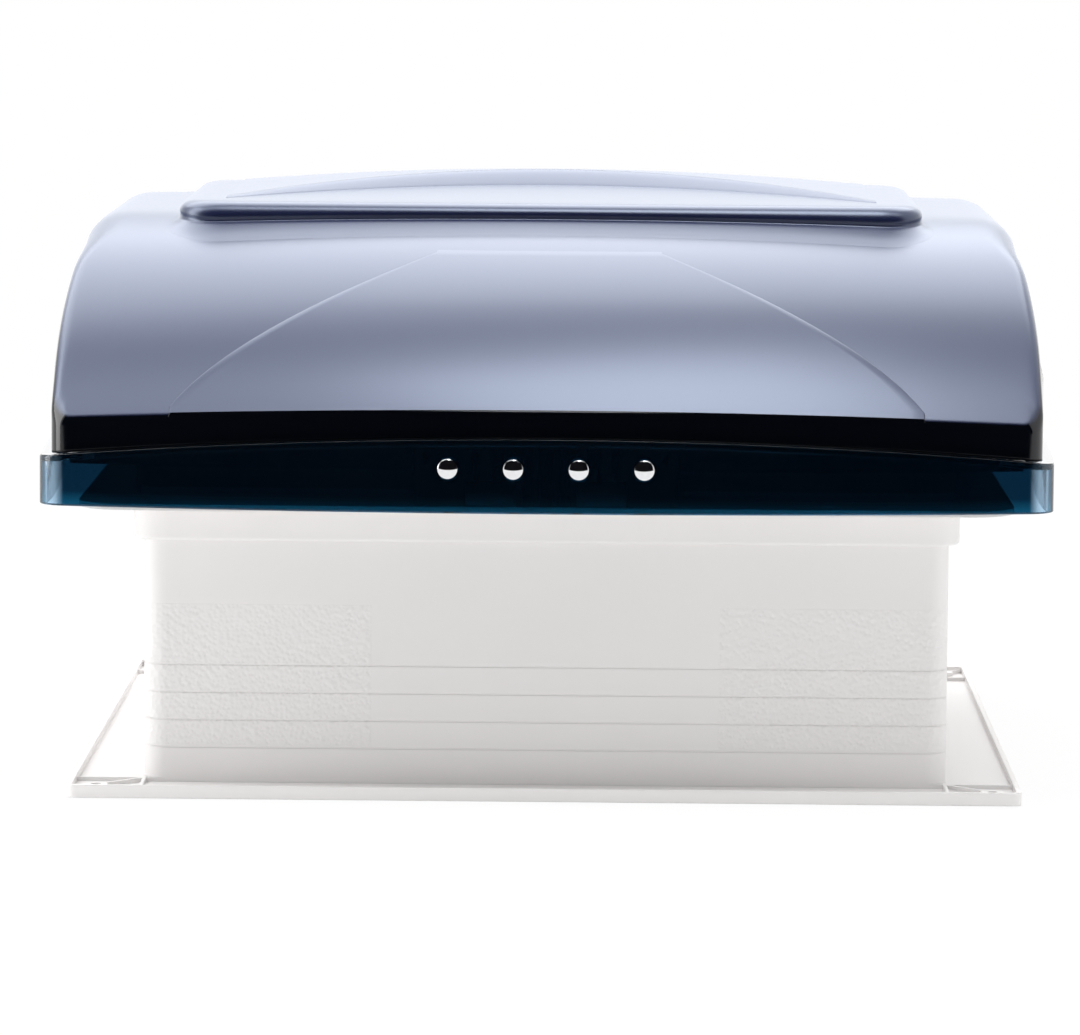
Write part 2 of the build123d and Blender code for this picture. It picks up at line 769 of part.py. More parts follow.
def hinge_nuts():
    nuts = []
    for x in dome_places():
        start = -skirt_half_depth + block_back
        outline = Plane.XZ.offset(-start - nut_height) * RegularPolygon(nut_flats_r, 6)
        nut = Pos(x, 0, dome_z) * extrude(outline, amount=nut_height)
        nuts.append(nut - rod_y(screw_r, x, start - overrun, start + nut_height + overrun, dome_z))
    return group(nuts)


def stay_bracket():
    face = throat_half - bracket_plate
    plate = block(face, throat_half, pivot_y - bracket_half, pivot_y + bracket_half, flange_top_z, kerb_top)
    boss_end = stay_inner + stay_thick + run_gap
    boss = rod_x(boss_r, boss_end, face, pivot_y, hinge_z)
    body = plate + boss
    return one_solid(body - rod_x(stay_bolt_r, boss_end - overrun, throat_half, pivot_y, hinge_z))


def pivot_bolt():
    return one_solid(rod_x(stay_bolt_r, bolt_inner, throat_half - bracket_plate / 2, pivot_y, hinge_z))


def stay():
    outer, half = stay_inner + stay_thick, stay_width / 2
    bar = block(stay_inner, outer, pivot_y, rest_pin_y, hinge_z - half, hinge_z + half)
    for y in (pivot_y, rest_pin_y):
        bar = bar + rod_x(half, stay_inner, outer, y, hinge_z)
    for y, pin_r in ((pivot_y, stay_bolt_r), (rest_pin_y, shoe_pin_r)):
        bar = bar - rod_x(pin_r + pin_gap, stay_inner - overrun, outer + overrun, y, hinge_z)
    return one_solid(bar)


def knob():
    outer = stay_inner - run_gap
    inner = outer - knob_length
    body = rod_x(knob_r, inner, outer, pivot_y, hinge_z)
    rim = body.faces().sort_by(Axis.X)[0].edges()
    body = fillet(rim, knob_round)
    for i in range(knob_lobes):
        turn = radians(360 / knob_lobes * (i + 0.5))
        reach = knob_r + knob_lobe_r / 2
        y = pivot_y + reach * cos(turn)
        z = hinge_z + reach * sin(turn)
        body = body - rod_x(knob_lobe_r, inner - overrun, outer + overrun, y, z)
    bore_end = bolt_inner - bolt_tip_gap
    return one_solid(body - rod_x(stay_bolt_r + pin_gap, bore_end, outer + overrun, pivot_y, hinge_z))


def rail():
    half = rail_cavity / 2
    y0 = hinge_y + rail_near
    y1 = hinge_y + rail_far
    body = block(rail_inner, rail_outer, y0, y1, hinge_z - half - rail_wall, lid_flange_z)
    start, end = y0 - overrun, y1 + overrun
    low, high = hinge_z - half, hinge_z + half
    body = body - block(rail_inner + rail_wall, rail_outer - rail_wall, start, end, low, high)
    slot_half, slot_end = rail_slot / 2, rail_inner + rail_wall + run_gap
    body = body - block(rail_inner - overrun, slot_end, start, end, hinge_z - slot_half, hinge_z + slot_half)
    for x, y in rail_screw_places():
        body = body - rod_z(rail_screw_r, x, y, hinge_z + half - overrun, lid_flange_z + overrun)
    return one_solid(body)


def shoe():
    half = rail_cavity / 2 - run_gap
    slider = block(
        rail_inner + rail_wall + run_gap, rail_outer - rail_wall - run_gap,
        rest_pin_y - shoe_half_length, rest_pin_y + shoe_half_length, hinge_z - half, hinge_z + half
    )
    head_end = stay_inner - run_gap
    pin = rod_x(shoe_pin_r, head_end, rail_inner + rail_wall + run_gap, rest_pin_y, hinge_z)
    head = rod_x(shoe_head_r, head_end - shoe_head, head_end, rest_pin_y, hinge_z)
    return one_solid(slider + pin + head)


def rail_screws():
    seat = lid_flange_z + lid_flange + liner_wall
    tip = hinge_z + rail_cavity / 2 + run_gap
    sizes = (rail_screw_r, rail_screw_head_r)
    return group([pan_screw(x, y, seat, tip, *sizes) for x, y in rail_screw_places()])


def liner_screws():
    seat = lid_flange_z + lid_flange + liner_wall
    return group([pan_screw(x, y, seat, lid_flange_z + run_gap) for x, y in liner_screw_places()])


def catch_axis():
    """The upright axis of the right-hand turn catch."""
    return catch_x, lid_flange_inner + catch_inset


def catch():
    x, y = catch_axis()
    top = lid_flange_z - run_gap
    body = rod_z(catch_spindle_r, x, y, catch_foot_z, top)
    tongue_top = catch_tongue_z + catch_tongue_thick
    half, grip_half = catch_tongue_half, catch_grip_thick / 2
    body = body + block(x, x + catch_tongue, y - half, y + half, catch_tongue_z, tongue_top)
    grip_top = catch_foot_z + catch_grip_height
    grip = block(x - catch_grip, x, y - grip_half, y + grip_half, catch_foot_z, grip_top)
    ends = grip.edges().filter_by(Axis.Y).sort_by(Axis.X)[:2]
    grip = fillet(ends, catch_grip_height / 3)
    bore = rod_z(catch_screw_r + pin_gap, x, y, catch_foot_z - overrun, top + overrun)
    return one_solid(body + grip - bore)


def catch_screw():
    """A screw up through the catch, with its head below."""
    x, y = catch_axis()
    head_top = catch_foot_z - run_gap
    top = lid_flange_z + lid_flange + liner_wall
    head = rod_z(screw_head_r, x, y, head_top - screw_head, head_top)
    return rod_z(catch_screw_r, x, y, head_top, top) + head


def catch_screws():
    return group([catch_screw(), other_side(catch_screw())])


def keeper():
    x = catch_x
    face = throat_half
    left, right = x - keeper_half, x + keeper_half
    lip_z = catch_tongue_z + catch_tongue_thick + run_gap
    plate = block(left, right, face - keeper_plate, face, lip_z, kerb_top - keeper_top_drop)
    lip = block(left, right, face - keeper_lip, face, lip_z, lip_z + keeper_lip_thick)
    return one_solid(plate + lip)


def grab_handle():
    y = lid_flange_inner + handle_inset
    bottom = lid_flange_z - handle_drop
    corners = [(-handle_half, y, bottom), (handle_half, y, bottom)]
    start, end = (-handle_half, y, lid_flange_z), (handle_half, y, lid_flange_z)
    path = FilletPolyline(start, *corners, end, radius=handle_bend)
    bar = sweep(Plane(origin=start, z_dir=(0, 0, -1)) * Circle(handle_r), path=path)
    for x in (-handle_half, handle_half):
        bar = bar + rod_z(handle_foot_r, x, y, lid_flange_z - handle_foot, lid_flange_z)
    for x in (-handle_half, handle_half):
        bar = bar - rod_z(screw_r, x, y, lid_flange_z - handle_bend, lid_flange_z + overrun)
    return one_solid(bar)


def handle_screws():
    seat = lid_flange_z + lid_flange + liner_wall
    y = lid_flange_inner + handle_inset
    tip = lid_flange_z - handle_bend + run_gap
    return group([pan_screw(x, y, seat, tip) for x in (-handle_half, handle_half)])


def snap_places():
    """Where the screen's snap lugs meet the neck's side walls."""
    return [(side, y) for side in (-1, 1) for y in (-snap_spread / 2, snap_spread / 2)]


def snap_block(side, y, rise, grow):
    """A snap lug, or with some growth the recess that takes it."""
    face = throat_half
    z = screen_z + screen_height / 2
    x0 = min(side * (face - screen_bar / 3), side * (face + rise))
    x1 = max(side * (face - screen_bar / 3), side * (face + rise))
    half = snap_length / 2 + grow
    rise_half = snap_height / 2 + grow
    return block(x0, x1, y - half, y + half, z - rise_half, z + rise_half)


def screen_frame():
    outer = throat_half - screen_gap
    top = screen_z + screen_height
    body = square_ring(outer, outer - screen_bar, neck_corner - neck_wall, screen_z, top)
    clear = outer - screen_bar / 2
    for i in range(screen_ribs):
        place = (i + 1) * 2 * clear / (screen_ribs + 1) - clear
        bar = block(-clear, clear, place - screen_rib / 2, place + screen_rib / 2, mesh_z + mesh_thick, top)
        body = body + bar + Rot(0, 0, 90) * bar
    body = body - square_prism(outer - screen_bar * 2 / 3, neck_corner / 3, mesh_z, mesh_z + mesh_thick)
    for side, y in snap_places():
        lug = snap_block(side, y, snap_rise - screen_gap, 0)
        clear_box = square_prism(outer - screen_bar / 3, neck_corner / 2, screen_z - overrun, top + overrun)
        body = body + (lug - clear_box)
    return one_solid(body)


def screen_mesh():
    half = throat_half - screen_gap - screen_bar * 2 / 3
    return one_solid(square_prism(half, neck_corner / 3, mesh_z, mesh_z + mesh_thick))


def mirrored_pair(name, piece):
    """Write a right-hand piece and its left-hand twin."""
    export_step(piece, "parts/" + name + "_right.step")
    export_step(one_solid(other_side(piece)), "parts/" + name + "_left.step")


singles = {
    "ceiling_frame": ceiling_frame,
    "roof_frame": roof_frame,
    "kerb_seal": kerb_seal,
    "hinge_base": hinge_base,
    "hinge_base_screws": hinge_base_screws,
    "hinge_pin": hinge_pin,
    "hinge_block": hinge_block,
    "hinge_screws": hinge_screws,
    "hinge_nuts": hinge_nuts,
    "lid_hood": lid_hood,
    "lid_skirt": lid_skirt,
    "lid_liner": lid_liner,
    "liner_screws": liner_screws,
    "rail_screws": rail_screws,
    "grab_handle": grab_handle,
    "handle_screws": handle_screws,
    "catch_screws": catch_screws,
    "screen_frame": screen_frame,
    "screen_mesh": screen_mesh,
}
pairs = {
    "stay_bracket": stay_bracket,
    "pivot_bolt": pivot_bolt,
    "stay": stay,
    "knob": knob,
    "stay_rail": rail,
    "stay_shoe": shoe,
    "catch": catch,
    "catch_keeper": keeper,
}

for name, make in singles.items():
    export_step(make(), "parts/" + name + ".step")
for name, make in pairs.items():
    mirrored_pair(name, make())
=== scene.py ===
"""Looks of a caravan roof vent: its tinted lid, white frames and small hardware, on a white studio floor."""

import math

import bmesh
import bpy
from bpy.props import FloatProperty, FloatVectorProperty, PointerProperty
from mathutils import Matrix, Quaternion, Vector


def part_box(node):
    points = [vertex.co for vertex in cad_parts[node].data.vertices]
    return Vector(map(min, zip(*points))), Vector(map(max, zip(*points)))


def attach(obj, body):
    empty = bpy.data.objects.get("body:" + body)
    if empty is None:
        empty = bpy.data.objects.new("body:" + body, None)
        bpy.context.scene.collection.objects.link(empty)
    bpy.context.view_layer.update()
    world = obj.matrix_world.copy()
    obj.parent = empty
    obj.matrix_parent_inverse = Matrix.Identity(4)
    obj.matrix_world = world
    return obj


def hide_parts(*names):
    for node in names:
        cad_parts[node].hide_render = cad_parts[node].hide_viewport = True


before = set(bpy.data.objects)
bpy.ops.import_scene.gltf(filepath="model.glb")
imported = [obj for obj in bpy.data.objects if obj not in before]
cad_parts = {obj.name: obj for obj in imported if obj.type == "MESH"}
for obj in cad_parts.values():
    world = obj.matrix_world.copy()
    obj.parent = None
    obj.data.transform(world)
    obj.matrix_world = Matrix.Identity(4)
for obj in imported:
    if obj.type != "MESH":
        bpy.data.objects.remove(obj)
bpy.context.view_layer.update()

bl_info = {
    "name": "Roof Vent Looks",
    "version": (1, 0, 0),
    "blender": (4, 5, 0),
    "location": "View3D > Sidebar > Vent",
    "description": "Builds the visible surfaces, finishes and studio of a caravan roof vent",
    "category": "Object",
}

# Lengths below are millimetres, apart from the stage's, and one factor brings them to metres.
MM = 0.001

# Stations along one long side of an outline, and round one of its corners.
LONG_COUNT = 56
CORNER_COUNT = 10
CORNER_START = LONG_COUNT // 2
CORNER_END = CORNER_START + CORNER_COUNT
# Halvings that find a place on the flare's curve, and steps that find an edge's height.
CURVE_STEPS = 16
EDGE_STEPS = 12
# Points nearer than this are one, and edges shorter than this are taken out.
WELD_REACH = 0.01
SHORTEST_EDGE = 0.005

# The lid in plan: bowed front and rear edges, nearly straight sides.
PLAN_R = 1200.0
SLOPE_PLAN_R = 950.0
SIDE_BOW = 5.2
LEDGE_WIDTH = 5.5
LEDGE_Z = 156.7
LEDGE_ARCH_R = 2209.0

# The hood's front slope, rear end, top and sides, and how its lower sides flare out.
RIDGE_Z = 167.4
SLOPE_R = 230.0
SLOPE_FOOT = math.radians(48)
REAR_R = 110.0
REAR_FOOT = math.radians(72)
CROWN_R = 9300.0
SIDE_TURN_Z = 185.0
SIDE_TURN_R = 210.0
FLARE_HALF = 188.0
FLARE_EDGE = 208.5
FLARE_BEND = 0.4
FLARE_TURN_Z = 163.0
FLARE_TOP_Z = 197.0
SHOULDER_SHARE_Z = (222.0, 238.0)

SLOPE_CENTRE_Z = RIDGE_Z - SLOPE_R * math.cos(SLOPE_FOOT)
TOP_Z = SLOPE_CENTRE_Z + SLOPE_R
SLOPE_RUN = SLOPE_R * math.sin(SLOPE_FOOT)
REAR_RUN = REAR_R * math.sin(REAR_FOOT)

# Extra rounding where the ridge turns into the sides.
CORNER_SWELL = 9.0

# The hood's skin: how far its rim reaches in, and its rows up the wall, round the edge and over the rim.
RIM_REACH = 34.0
WALL_ROWS = 14
ROUND_ROWS = 8
RIM_ROWS = 8
# The least upright wall, how softly the slope meets the top, and the flare's gap inside the skirt's side.
EDGE_ROOM = 1.0
CROWN_SOFTNESS = 2.0
FLARE_ROOM = 0.2

# The raised panel on the slope, as half widths at three heights.
PANEL_FOOT = (161.5, 165.5)
PANEL_MID = (96.0, 210.0)
PANEL_TOP = (49.0, 229.0)
# Its step, its edges, how it fades towards the top, and how its ends sink into the hood.
PANEL_STEP = 0.8
PANEL_EDGE_OUT = 0.45
PANEL_EDGE_IN = 0.54
PANEL_EDGE_FALL = 0.85
PANEL_CROWN_FADE = 0.3
PANEL_FADE_SHARE = 0.35
PANEL_SINK = 0.4
PANEL_CROWN_RUN = 2.5
PANEL_NOSE_GAP = 0.06
PANEL_NOSE_DEPTH = 2.0
PANEL_COLUMNS = 56
PANEL_ROWS = 48

# The air deflector on top, and how far its flat middle stays from its edge.
DEFLECTOR_HALF = 165.0
DEFLECTOR_FRONT = -90.0
DEFLECTOR_REAR = 100.0
DEFLECTOR_CORNER = 20.0
DEFLECTOR_RISE = 5.0
DEFLECTOR_FLAT = 26.0
# A plan radius so large that the edge is straight.
STRAIGHT_R = 1e5
# The lip's outline, foot first: how far it stands out, and its share of the height there.
LIP_SHARES = [
    (15.0, -0.01), (13.5, 0.0), (11.5, 0.008), (9.5, 0.025), (7.5, 0.055), (5.5, 0.10),
    (3.7, 0.155), (2.1, 0.212), (0.9, 0.258), (0.0, 0.288), (-0.4, 0.31), (-0.45, 0.35),
    (-0.25, 0.41), (-0.15, 0.50), (-0.25, 0.57), (-0.6, 0.65), (-1.2, 0.73), (-2.1, 0.81),
    (-3.3, 0.88), (-4.8, 0.94), (-6.6, 0.98), (-9.0, 1.0),
]
# The cove under the lip ends at this share, and is this much shorter and lower at the sides.
COVE_SHARE = 0.3
COVE_SIDE_REACH = 0.2
COVE_SIDE_RISE = 0.4

# The crest: its height and half width, the curve of its step's foot in plan, its lean and its rear edge.
CREST_RISE = 6.5
CREST_HALF = 150.0
CREST_FOOT_HALF = 145.0
CREST_FOOT_REAR = 69.0
CREST_FOOT_FRONT = -59.5
CREST_ROUND = 3.0
CREST_LEAN = 2.2
CREST_FRONT_RUN = 1.0
CREST_EDGE = 4.0
CREST_SINK = 0.5
# The step's first two points, a hair behind its foot and above the deflector.
CREST_FOOT = [(0.05, 0.02), (0.1, 0.05)]
# Where the step's curve bends, as shares of its run and its rise.
CREST_BEND = (0.72, 0.85)
CREST_COLUMNS = 96
CREST_ROWS = 8
CREST_ROUND_ROWS = 6

# The lid's walls, the skirt's ledge with its inner step, and the flange inside it.
LID_WALL = 3.0
LEDGE_WEB = 14.0
STEP_WALL = 3.0
FLANGE_Z = 142.0
FLANGE_THICK = 3.0
FLANGE_HALF = 158.0
SKIRT_ROWS = 6
# Insets and rises of the skirt's rounded foot, and insets and drops of its rounded ledge.
FOOT_ROUND = [(0.6, 0.0), (0.2, 0.15), (0.0, 0.5), (0.0, 0.8)]
LEDGE_ROUND = [(0.1, 0.5), (0.4, 0.12), (1.0, 0.0)]
LEDGE_FLAT = 1.0

# The dome screws: how far their heads stand out of the skirt, their rolled rims and their shanks.
DOME_COUNT = 4
DOME_STAND = 0.9
DOME_ROWS = 16
DOME_SIDES = 48
DOME_RIM = [(0.05, 0.25), (-0.1, 0.5)]
SHANK_R = 2.0

# The skirt's painted glow, light painted into its colour near its foot, is full at the first height and gone
# at the second.
PAINTED_GLOW_FOOT = 126.0
PAINTED_GLOW_TOP = 131.5

# The pebbled panels of each neck wall: out from its middle, their heights, and the pebble as drawn.
PEBBLE_OUT = (75.0, 172.0)
PEBBLE_UP = (19.0, 80.0)
PEBBLE_SIZE = 1.9

# The screen's thread spacing as drawn, and the thread's share of it.
SCREEN_PITCH = 1.8
THREAD_SHARE = 0.3

# Samples of each softened edge, how wide a moulding's colour drifts, and how far its sheen varies.
EDGE_SAMPLES = 4
DRIFT_SIZE = 60.0
SHEEN_RANGE = 0.04

# The stage, in metres: its floor, its dark card, and the levels of its world and paper.
FLOOR_SIZE = (3.2, 2.6)
FLOOR_PLACE = (0, 0.2, -0.0005)
CARD_SIZE = (5.0, 2.6)
CARD_PLACE = (0, -1.0, 1.28)
WORLD_LEVEL = 0.48
PAPER_GLOW = 0.93
# Each lamp: name, place, target, width, height, level beside plain white, seen in reflections.
LAMPS = [
    ("back_softbox", (0.0, 2.6, 1.1), (0, 0, 0.2), 4.4, 2.2, 0.6, True),
    ("top_softbox", (-0.3, 1.35, 2.0), (0, 0.1, 0.2), 3.4, 1.7, 2.45, True),
    ("sky_softbox", (0.0, -0.5, 1.9), (0, -0.2, 0.17), 3.4, 0.7, 1.8, True),
    ("crown_softbox", (0.12, -0.35, 1.15), (0.05, -0.2, 0.2), 0.5, 0.5, 4.5, True),
    ("front_fill", (-0.4, -2.6, 0.35), (0, 0, 0.06), 1.8, 0.8, 1.0, False),
    ("left_strip", (-1.6, -0.1, 0.8), (0, 0, 0.15), 0.8, 1.8, 3.6, True),
    ("right_strip", (1.8, 0.0, 0.6), (0, 0, 0.12), 0.5, 1.5, 2.9, False),
]

# The camera, worked out from the vanishing points of a picture of this many pixels.
PICTURE_WIDTH = 1080.0
PICTURE_HEIGHT = 1035.0
FOCAL_PIXELS = 6076.0
DEPTH_POINT = (598.0, -146.0)
CAMERA_PLACE = (22.0, -2767.5, 402.0)
CAMERA_ROLL = math.radians(0.45)
SENSOR_WIDTH = 36.0
CLIP_RANGE = (0.1, 30.0)


def size(name, text, default):
    """A length given in millimetres and held in metres, shown with its unit."""
    return FloatProperty(name=name, description=text, default=default * MM, min=0.0, unit="LENGTH")


def colour(name, text, code):
    """A colour from its sRGB hex code."""
    return FloatVectorProperty(
        name=name, description=text, default=linear(code), subtype="COLOR", min=0, max=1
    )


def linear(code):
    """An sRGB hex code as linear red, green and blue."""
    parts = [int(code[i:i + 2], 16) / 255 for i in (0, 2, 4)]
    return [c / 12.92 if c <= 0.04045 else ((c + 0.055) / 1.055) ** 2.4 for c in parts]


class VentSizes(bpy.types.PropertyGroup):
    """Sizes of the lid that a user would change."""

    skirt_half_depth: size("Skirt half depth", "From the middle to the skirt's front face", 220.0)
    skirt_half_width: size("Skirt half width", "From the middle to the skirt's side at its widest", 221.5)
    skirt_corner: size("Skirt corner", "Radius of the skirt's upright corners", 13.0)
    skirt_foot: size("Skirt foot", "Height of the skirt's lower edge", 125.0)
    hood_half_width: size("Hood half width", "From the middle to the hood's side", 211.5)
    hood_corner: size("Hood corner", "Radius of the hood's upright corners", 11.0)
    ridge_round: size("Ridge round", "Radius where the slope meets the nose band", 1.3)
    side_round: size("Side round", "Radius along the slope's side edges", 6.0)
    shoulder_round: size("Shoulder round", "Radius along the top's side edges", 14.0)
    dome_r: size("Dome radius", "Radius of the chrome screw domes", 5.1)
    dome_height: size("Dome height", "Height of the chrome screw domes", 2.4)


class VentColours(bpy.types.PropertyGroup):
    """Colours that a user would change."""

    hood: colour("Hood", "Satin smoked acrylic of the hood", "11163C")
    # Painted shade: the upright walls take a darker copy of the hood's colour; their polish is real.
    wall: colour("Hood walls", "Polished smoked acrylic of the hood's upright walls", "04060C")
    skirt: colour("Skirt", "Clear blue acrylic of the skirt", "07263C")
    # Painted light: the skirt's colour turns lighter near its foot, standing in for light that comes through
    # it.
    skirt_glow: colour("Skirt glow", "Blue acrylic where light comes through near its foot", "11506F")
    # Painted highlight: the skirt's corners are coloured a light blue, standing in for light coming round
    # them.
    skirt_corner: colour("Skirt corners", "Blue acrylic where light comes round its corners", "AFD2EC")
    white: colour("White frame", "Moulded white plastic", "EDEBEA")
    black: colour("Black nylon", "Hinge block and small fittings", "0B0B0D")
    rubber: colour("Rubber", "Kerb seal", "151517")
    aluminium: colour("Aluminium", "Anodised stays and rails", "C9CBCE")
    zinc: colour("Zinc", "Plated screws, brackets and pins", "C4C2BA")
    chrome: colour("Chrome", "Plated dome screws", "E8E8EA")


def length(name):
    """One of the vent's sizes in millimetres."""
    return getattr(bpy.context.scene.vent_sizes, name) / MM


def colours():
    """The colours of the vent by name."""
    group = bpy.context.scene.vent_colours
    return {name: tuple(getattr(group, name)) for name in VentColours.__annotations__}


def smooth(low, high, value):
    """A soft step from 0 at low to 1 at high."""
    share = min(max((value - low) / (high - low), 0.0), 1.0)
    return share * share * (3 - 2 * share)


def soft_min(a, b, reach):
    """The lower of two heights, rounded within a reach."""
    gap = max(reach - abs(a - b), 0.0) / reach
    return min(a, b) - gap * gap * reach / 4


def arch(x):
    """Height of the arched ledge between skirt and hood."""
    return LEDGE_Z - LEDGE_ARCH_R + math.sqrt(LEDGE_ARCH_R**2 - x * x)


def top_height(x, y):
    """Height of the hood's skin away from its sides, without the deflector."""
    half_depth = length("skirt_half_depth") - LEDGE_WIDTH
    front_run = math.hypot(x, y + half_depth - SLOPE_PLAN_R) - (SLOPE_PLAN_R - SLOPE_RUN)
    rear_run = math.hypot(x, y - half_depth + PLAN_R) - (PLAN_R - REAR_RUN)
    front = profile_height(front_run, SLOPE_R, SLOPE_FOOT)
    rear = profile_height(rear_run, REAR_R, REAR_FOOT)
    crown = TOP_Z - x * x / (2 * CROWN_R)
    return soft_min(min(front, rear), crown, CROWN_SOFTNESS)


def profile_height(run, radius, foot):
    """Height along an arc that falls away from the flat top, straight beyond its foot."""
    end = radius * math.sin(foot)
    if run <= 0:
        return TOP_Z
    if run <= end:
        return TOP_Z - radius + math.sqrt(radius**2 - run**2)
    return TOP_Z - radius + radius * math.cos(foot) - (run - end) * math.tan(foot)


def plan_rim(half_depth, side_half, bow, corner, plan_r=PLAN_R):
    """Stations round a bowed outline: point, outward normal and how much of it is side."""
    corner_x = side_half - corner
    arc_y = -half_depth + plan_r
    corner_y = arc_y - math.sqrt((plan_r - corner) ** 2 - corner_x**2)
    lean = math.atan2(corner_x, arc_y - corner_y)
    quarter = []
    for i in range(CORNER_START + 1):
        turn = lean * i / CORNER_START
        normal = (math.sin(turn), -math.cos(turn))
        quarter.append((plan_r * normal[0], arc_y + plan_r * normal[1], *normal, 0.0))
    for i in range(1, CORNER_COUNT + 1):
        share = i / CORNER_COUNT
        turn = lean + (math.pi / 2 - lean) * share
        point = (corner_x + corner * math.sin(turn), corner_y - corner * math.cos(turn))
        quarter.append((*point, math.sin(turn), -math.cos(turn), smooth(0, 1, share)))
    for i in range(1, CORNER_START + 1):
        y = corner_y * (1 - i / CORNER_START)
        slope = -2 * bow * y / corner_y**2
        length = math.hypot(1, slope)
        quarter.append((side_half + bow * (1 - (y / corner_y) ** 2), y, 1 / length, -slope / length, 1.0))
    right_rear = [(x, -y, nx, -ny, side) for x, y, nx, ny, side in reversed(quarter[:-1])]
    right = quarter + right_rear
    left = [(-x, y, -nx, ny, side) for x, y, nx, ny, side in reversed(right[1:-1])]
    return right + left


def loft(loops):
    """Points and faces of a skin through closed loops with as many points each."""
    count = len(loops[0])
    points = [point for loop in loops for point in loop]
    faces = []
    for row in range(len(loops) - 1):
        low, high = row * count, (row + 1) * count
        for i in range(count):
            j = (i + 1) % count
            faces.append((low + i, low + j, high + j, high + i))
    return points, faces


def patch(rows):
    """Points and faces of a skin through open rows with as many points each."""
    count = len(rows[0])
    points = [point for row in rows for point in row]
    faces = [
        (r * count + i, r * count + i + 1, (r + 1) * count + i + 1, (r + 1) * count + i)
        for r in range(len(rows) - 1) for i in range(count - 1)
    ]
    return points, faces


def join(*skins):
    """Several skins as one list of points and faces."""
    points, faces = [], []
    for more_points, more_faces in skins:
        start = len(points)
        points += more_points
        faces += [tuple(start + i for i in face) for face in more_faces]
    return points, faces


def island(rim_points, height):
    """Fills a four-sided loop of stations with a grid, at heights given by a function."""
    # Stations run from the middle of the front to the right, the rear, the left and back.
    steps, sides = LONG_COUNT, []
    for turn in range(4):
        start = CORNER_END + turn * (steps + CORNER_COUNT)
        sides.append([rim_points[(start + i) % len(rim_points)] for i in range(steps + 1)])
    right, rear, left, front = sides
    rear.reverse()
    left.reverse()
    rows = []
    for j in range(steps + 1):
        v = j / steps
        row = []
        for i in range(steps + 1):
            u = i / steps
            plane = [
                (1 - v) * front[i][k] + v * rear[i][k] + (1 - u) * left[j][k] + u * right[j][k]
                - (1 - u) * (1 - v) * front[0][k] - u * (1 - v) * front[-1][k]
                - (1 - u) * v * rear[0][k] - u * v * rear[-1][k]
                for k in (0, 1)
            ]
            row.append((plane[0], plane[1], height(*plane)))
        rows.append(row)
    return patch(rows)


def piece(name, skin, finish, body, sharp, replaced=(), wall=0.0):
    """One visible piece from points and faces in millimetres, riding its body and sharp past an angle."""
    points, faces = skin
    mesh = bpy.data.meshes.new(name)
    mesh.from_pydata([Vector(point) * MM for point in points], [], faces)
    work = bmesh.new()
    work.from_mesh(mesh)
    bmesh.ops.remove_doubles(work, verts=work.verts, dist=WELD_REACH * MM)
    bmesh.ops.dissolve_degenerate(work, edges=work.edges, dist=SHORTEST_EDGE * MM)
    bmesh.ops.recalc_face_normals(work, faces=work.faces)
    for face in work.faces:
        face.smooth = True
    work.to_mesh(mesh)
    work.free()
    mesh.set_sharp_from_angle(angle=math.radians(sharp))
    thing = bpy.data.objects.new(name, mesh)
    bpy.context.scene.collection.objects.link(thing)
    mesh.materials.append(finish)
    if wall:
        shell = thing.modifiers.new("wall", "SOLIDIFY")
        shell.thickness = wall * MM
        shell.offset = -1
    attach(thing, body)
    if replaced:
        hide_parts(*replaced)
    return thing


def bezier(a, b, c, count):
    """Points of a quadratic curve, both ends included."""
    spots = []
    for i in range(count + 1):
        t = i / count
        spots.append([(1 - t) ** 2 * p + 2 * t * (1 - t) * q + t * t * r for p, q, r in zip(a, b, c)])
    return spots


def side_inset(z):
    """How far the hood's side has turned in at a height."""
    rise = max(z - SIDE_TURN_Z, 0.0)
    return SIDE_TURN_R - math.sqrt(SIDE_TURN_R**2 - rise**2)


def flare(y, z):
    """How far the hood's lower side stands out at a place: bowed along the side, easing in with height."""
    full = length("skirt_half_width") - FLARE_ROOM - FLARE_EDGE
    bow = full * max(1 - (y / FLARE_HALF) ** 2, 0.0)
    share = min(max((z - FLARE_TURN_Z) / (FLARE_TOP_Z - FLARE_TURN_Z), 0.0), 1.0)
    # The side view is a curve with upright ends, so its parameter is found by halving.
    low, high = 0.0, 1.0
    for _ in range(CURVE_STEPS):
        t = (low + high) / 2
        rise = 3 * t * (1 - t) ** 2 * FLARE_BEND + 3 * t * t * (1 - t) * (1 - FLARE_BEND) + t**3
        low, high = (t, high) if rise < share else (low, t)
    ease = (1 - low) ** 3 + 3 * low * (1 - low) ** 2
    return min(bow, full * ease) + FLARE_EDGE - length("hood_half_width")


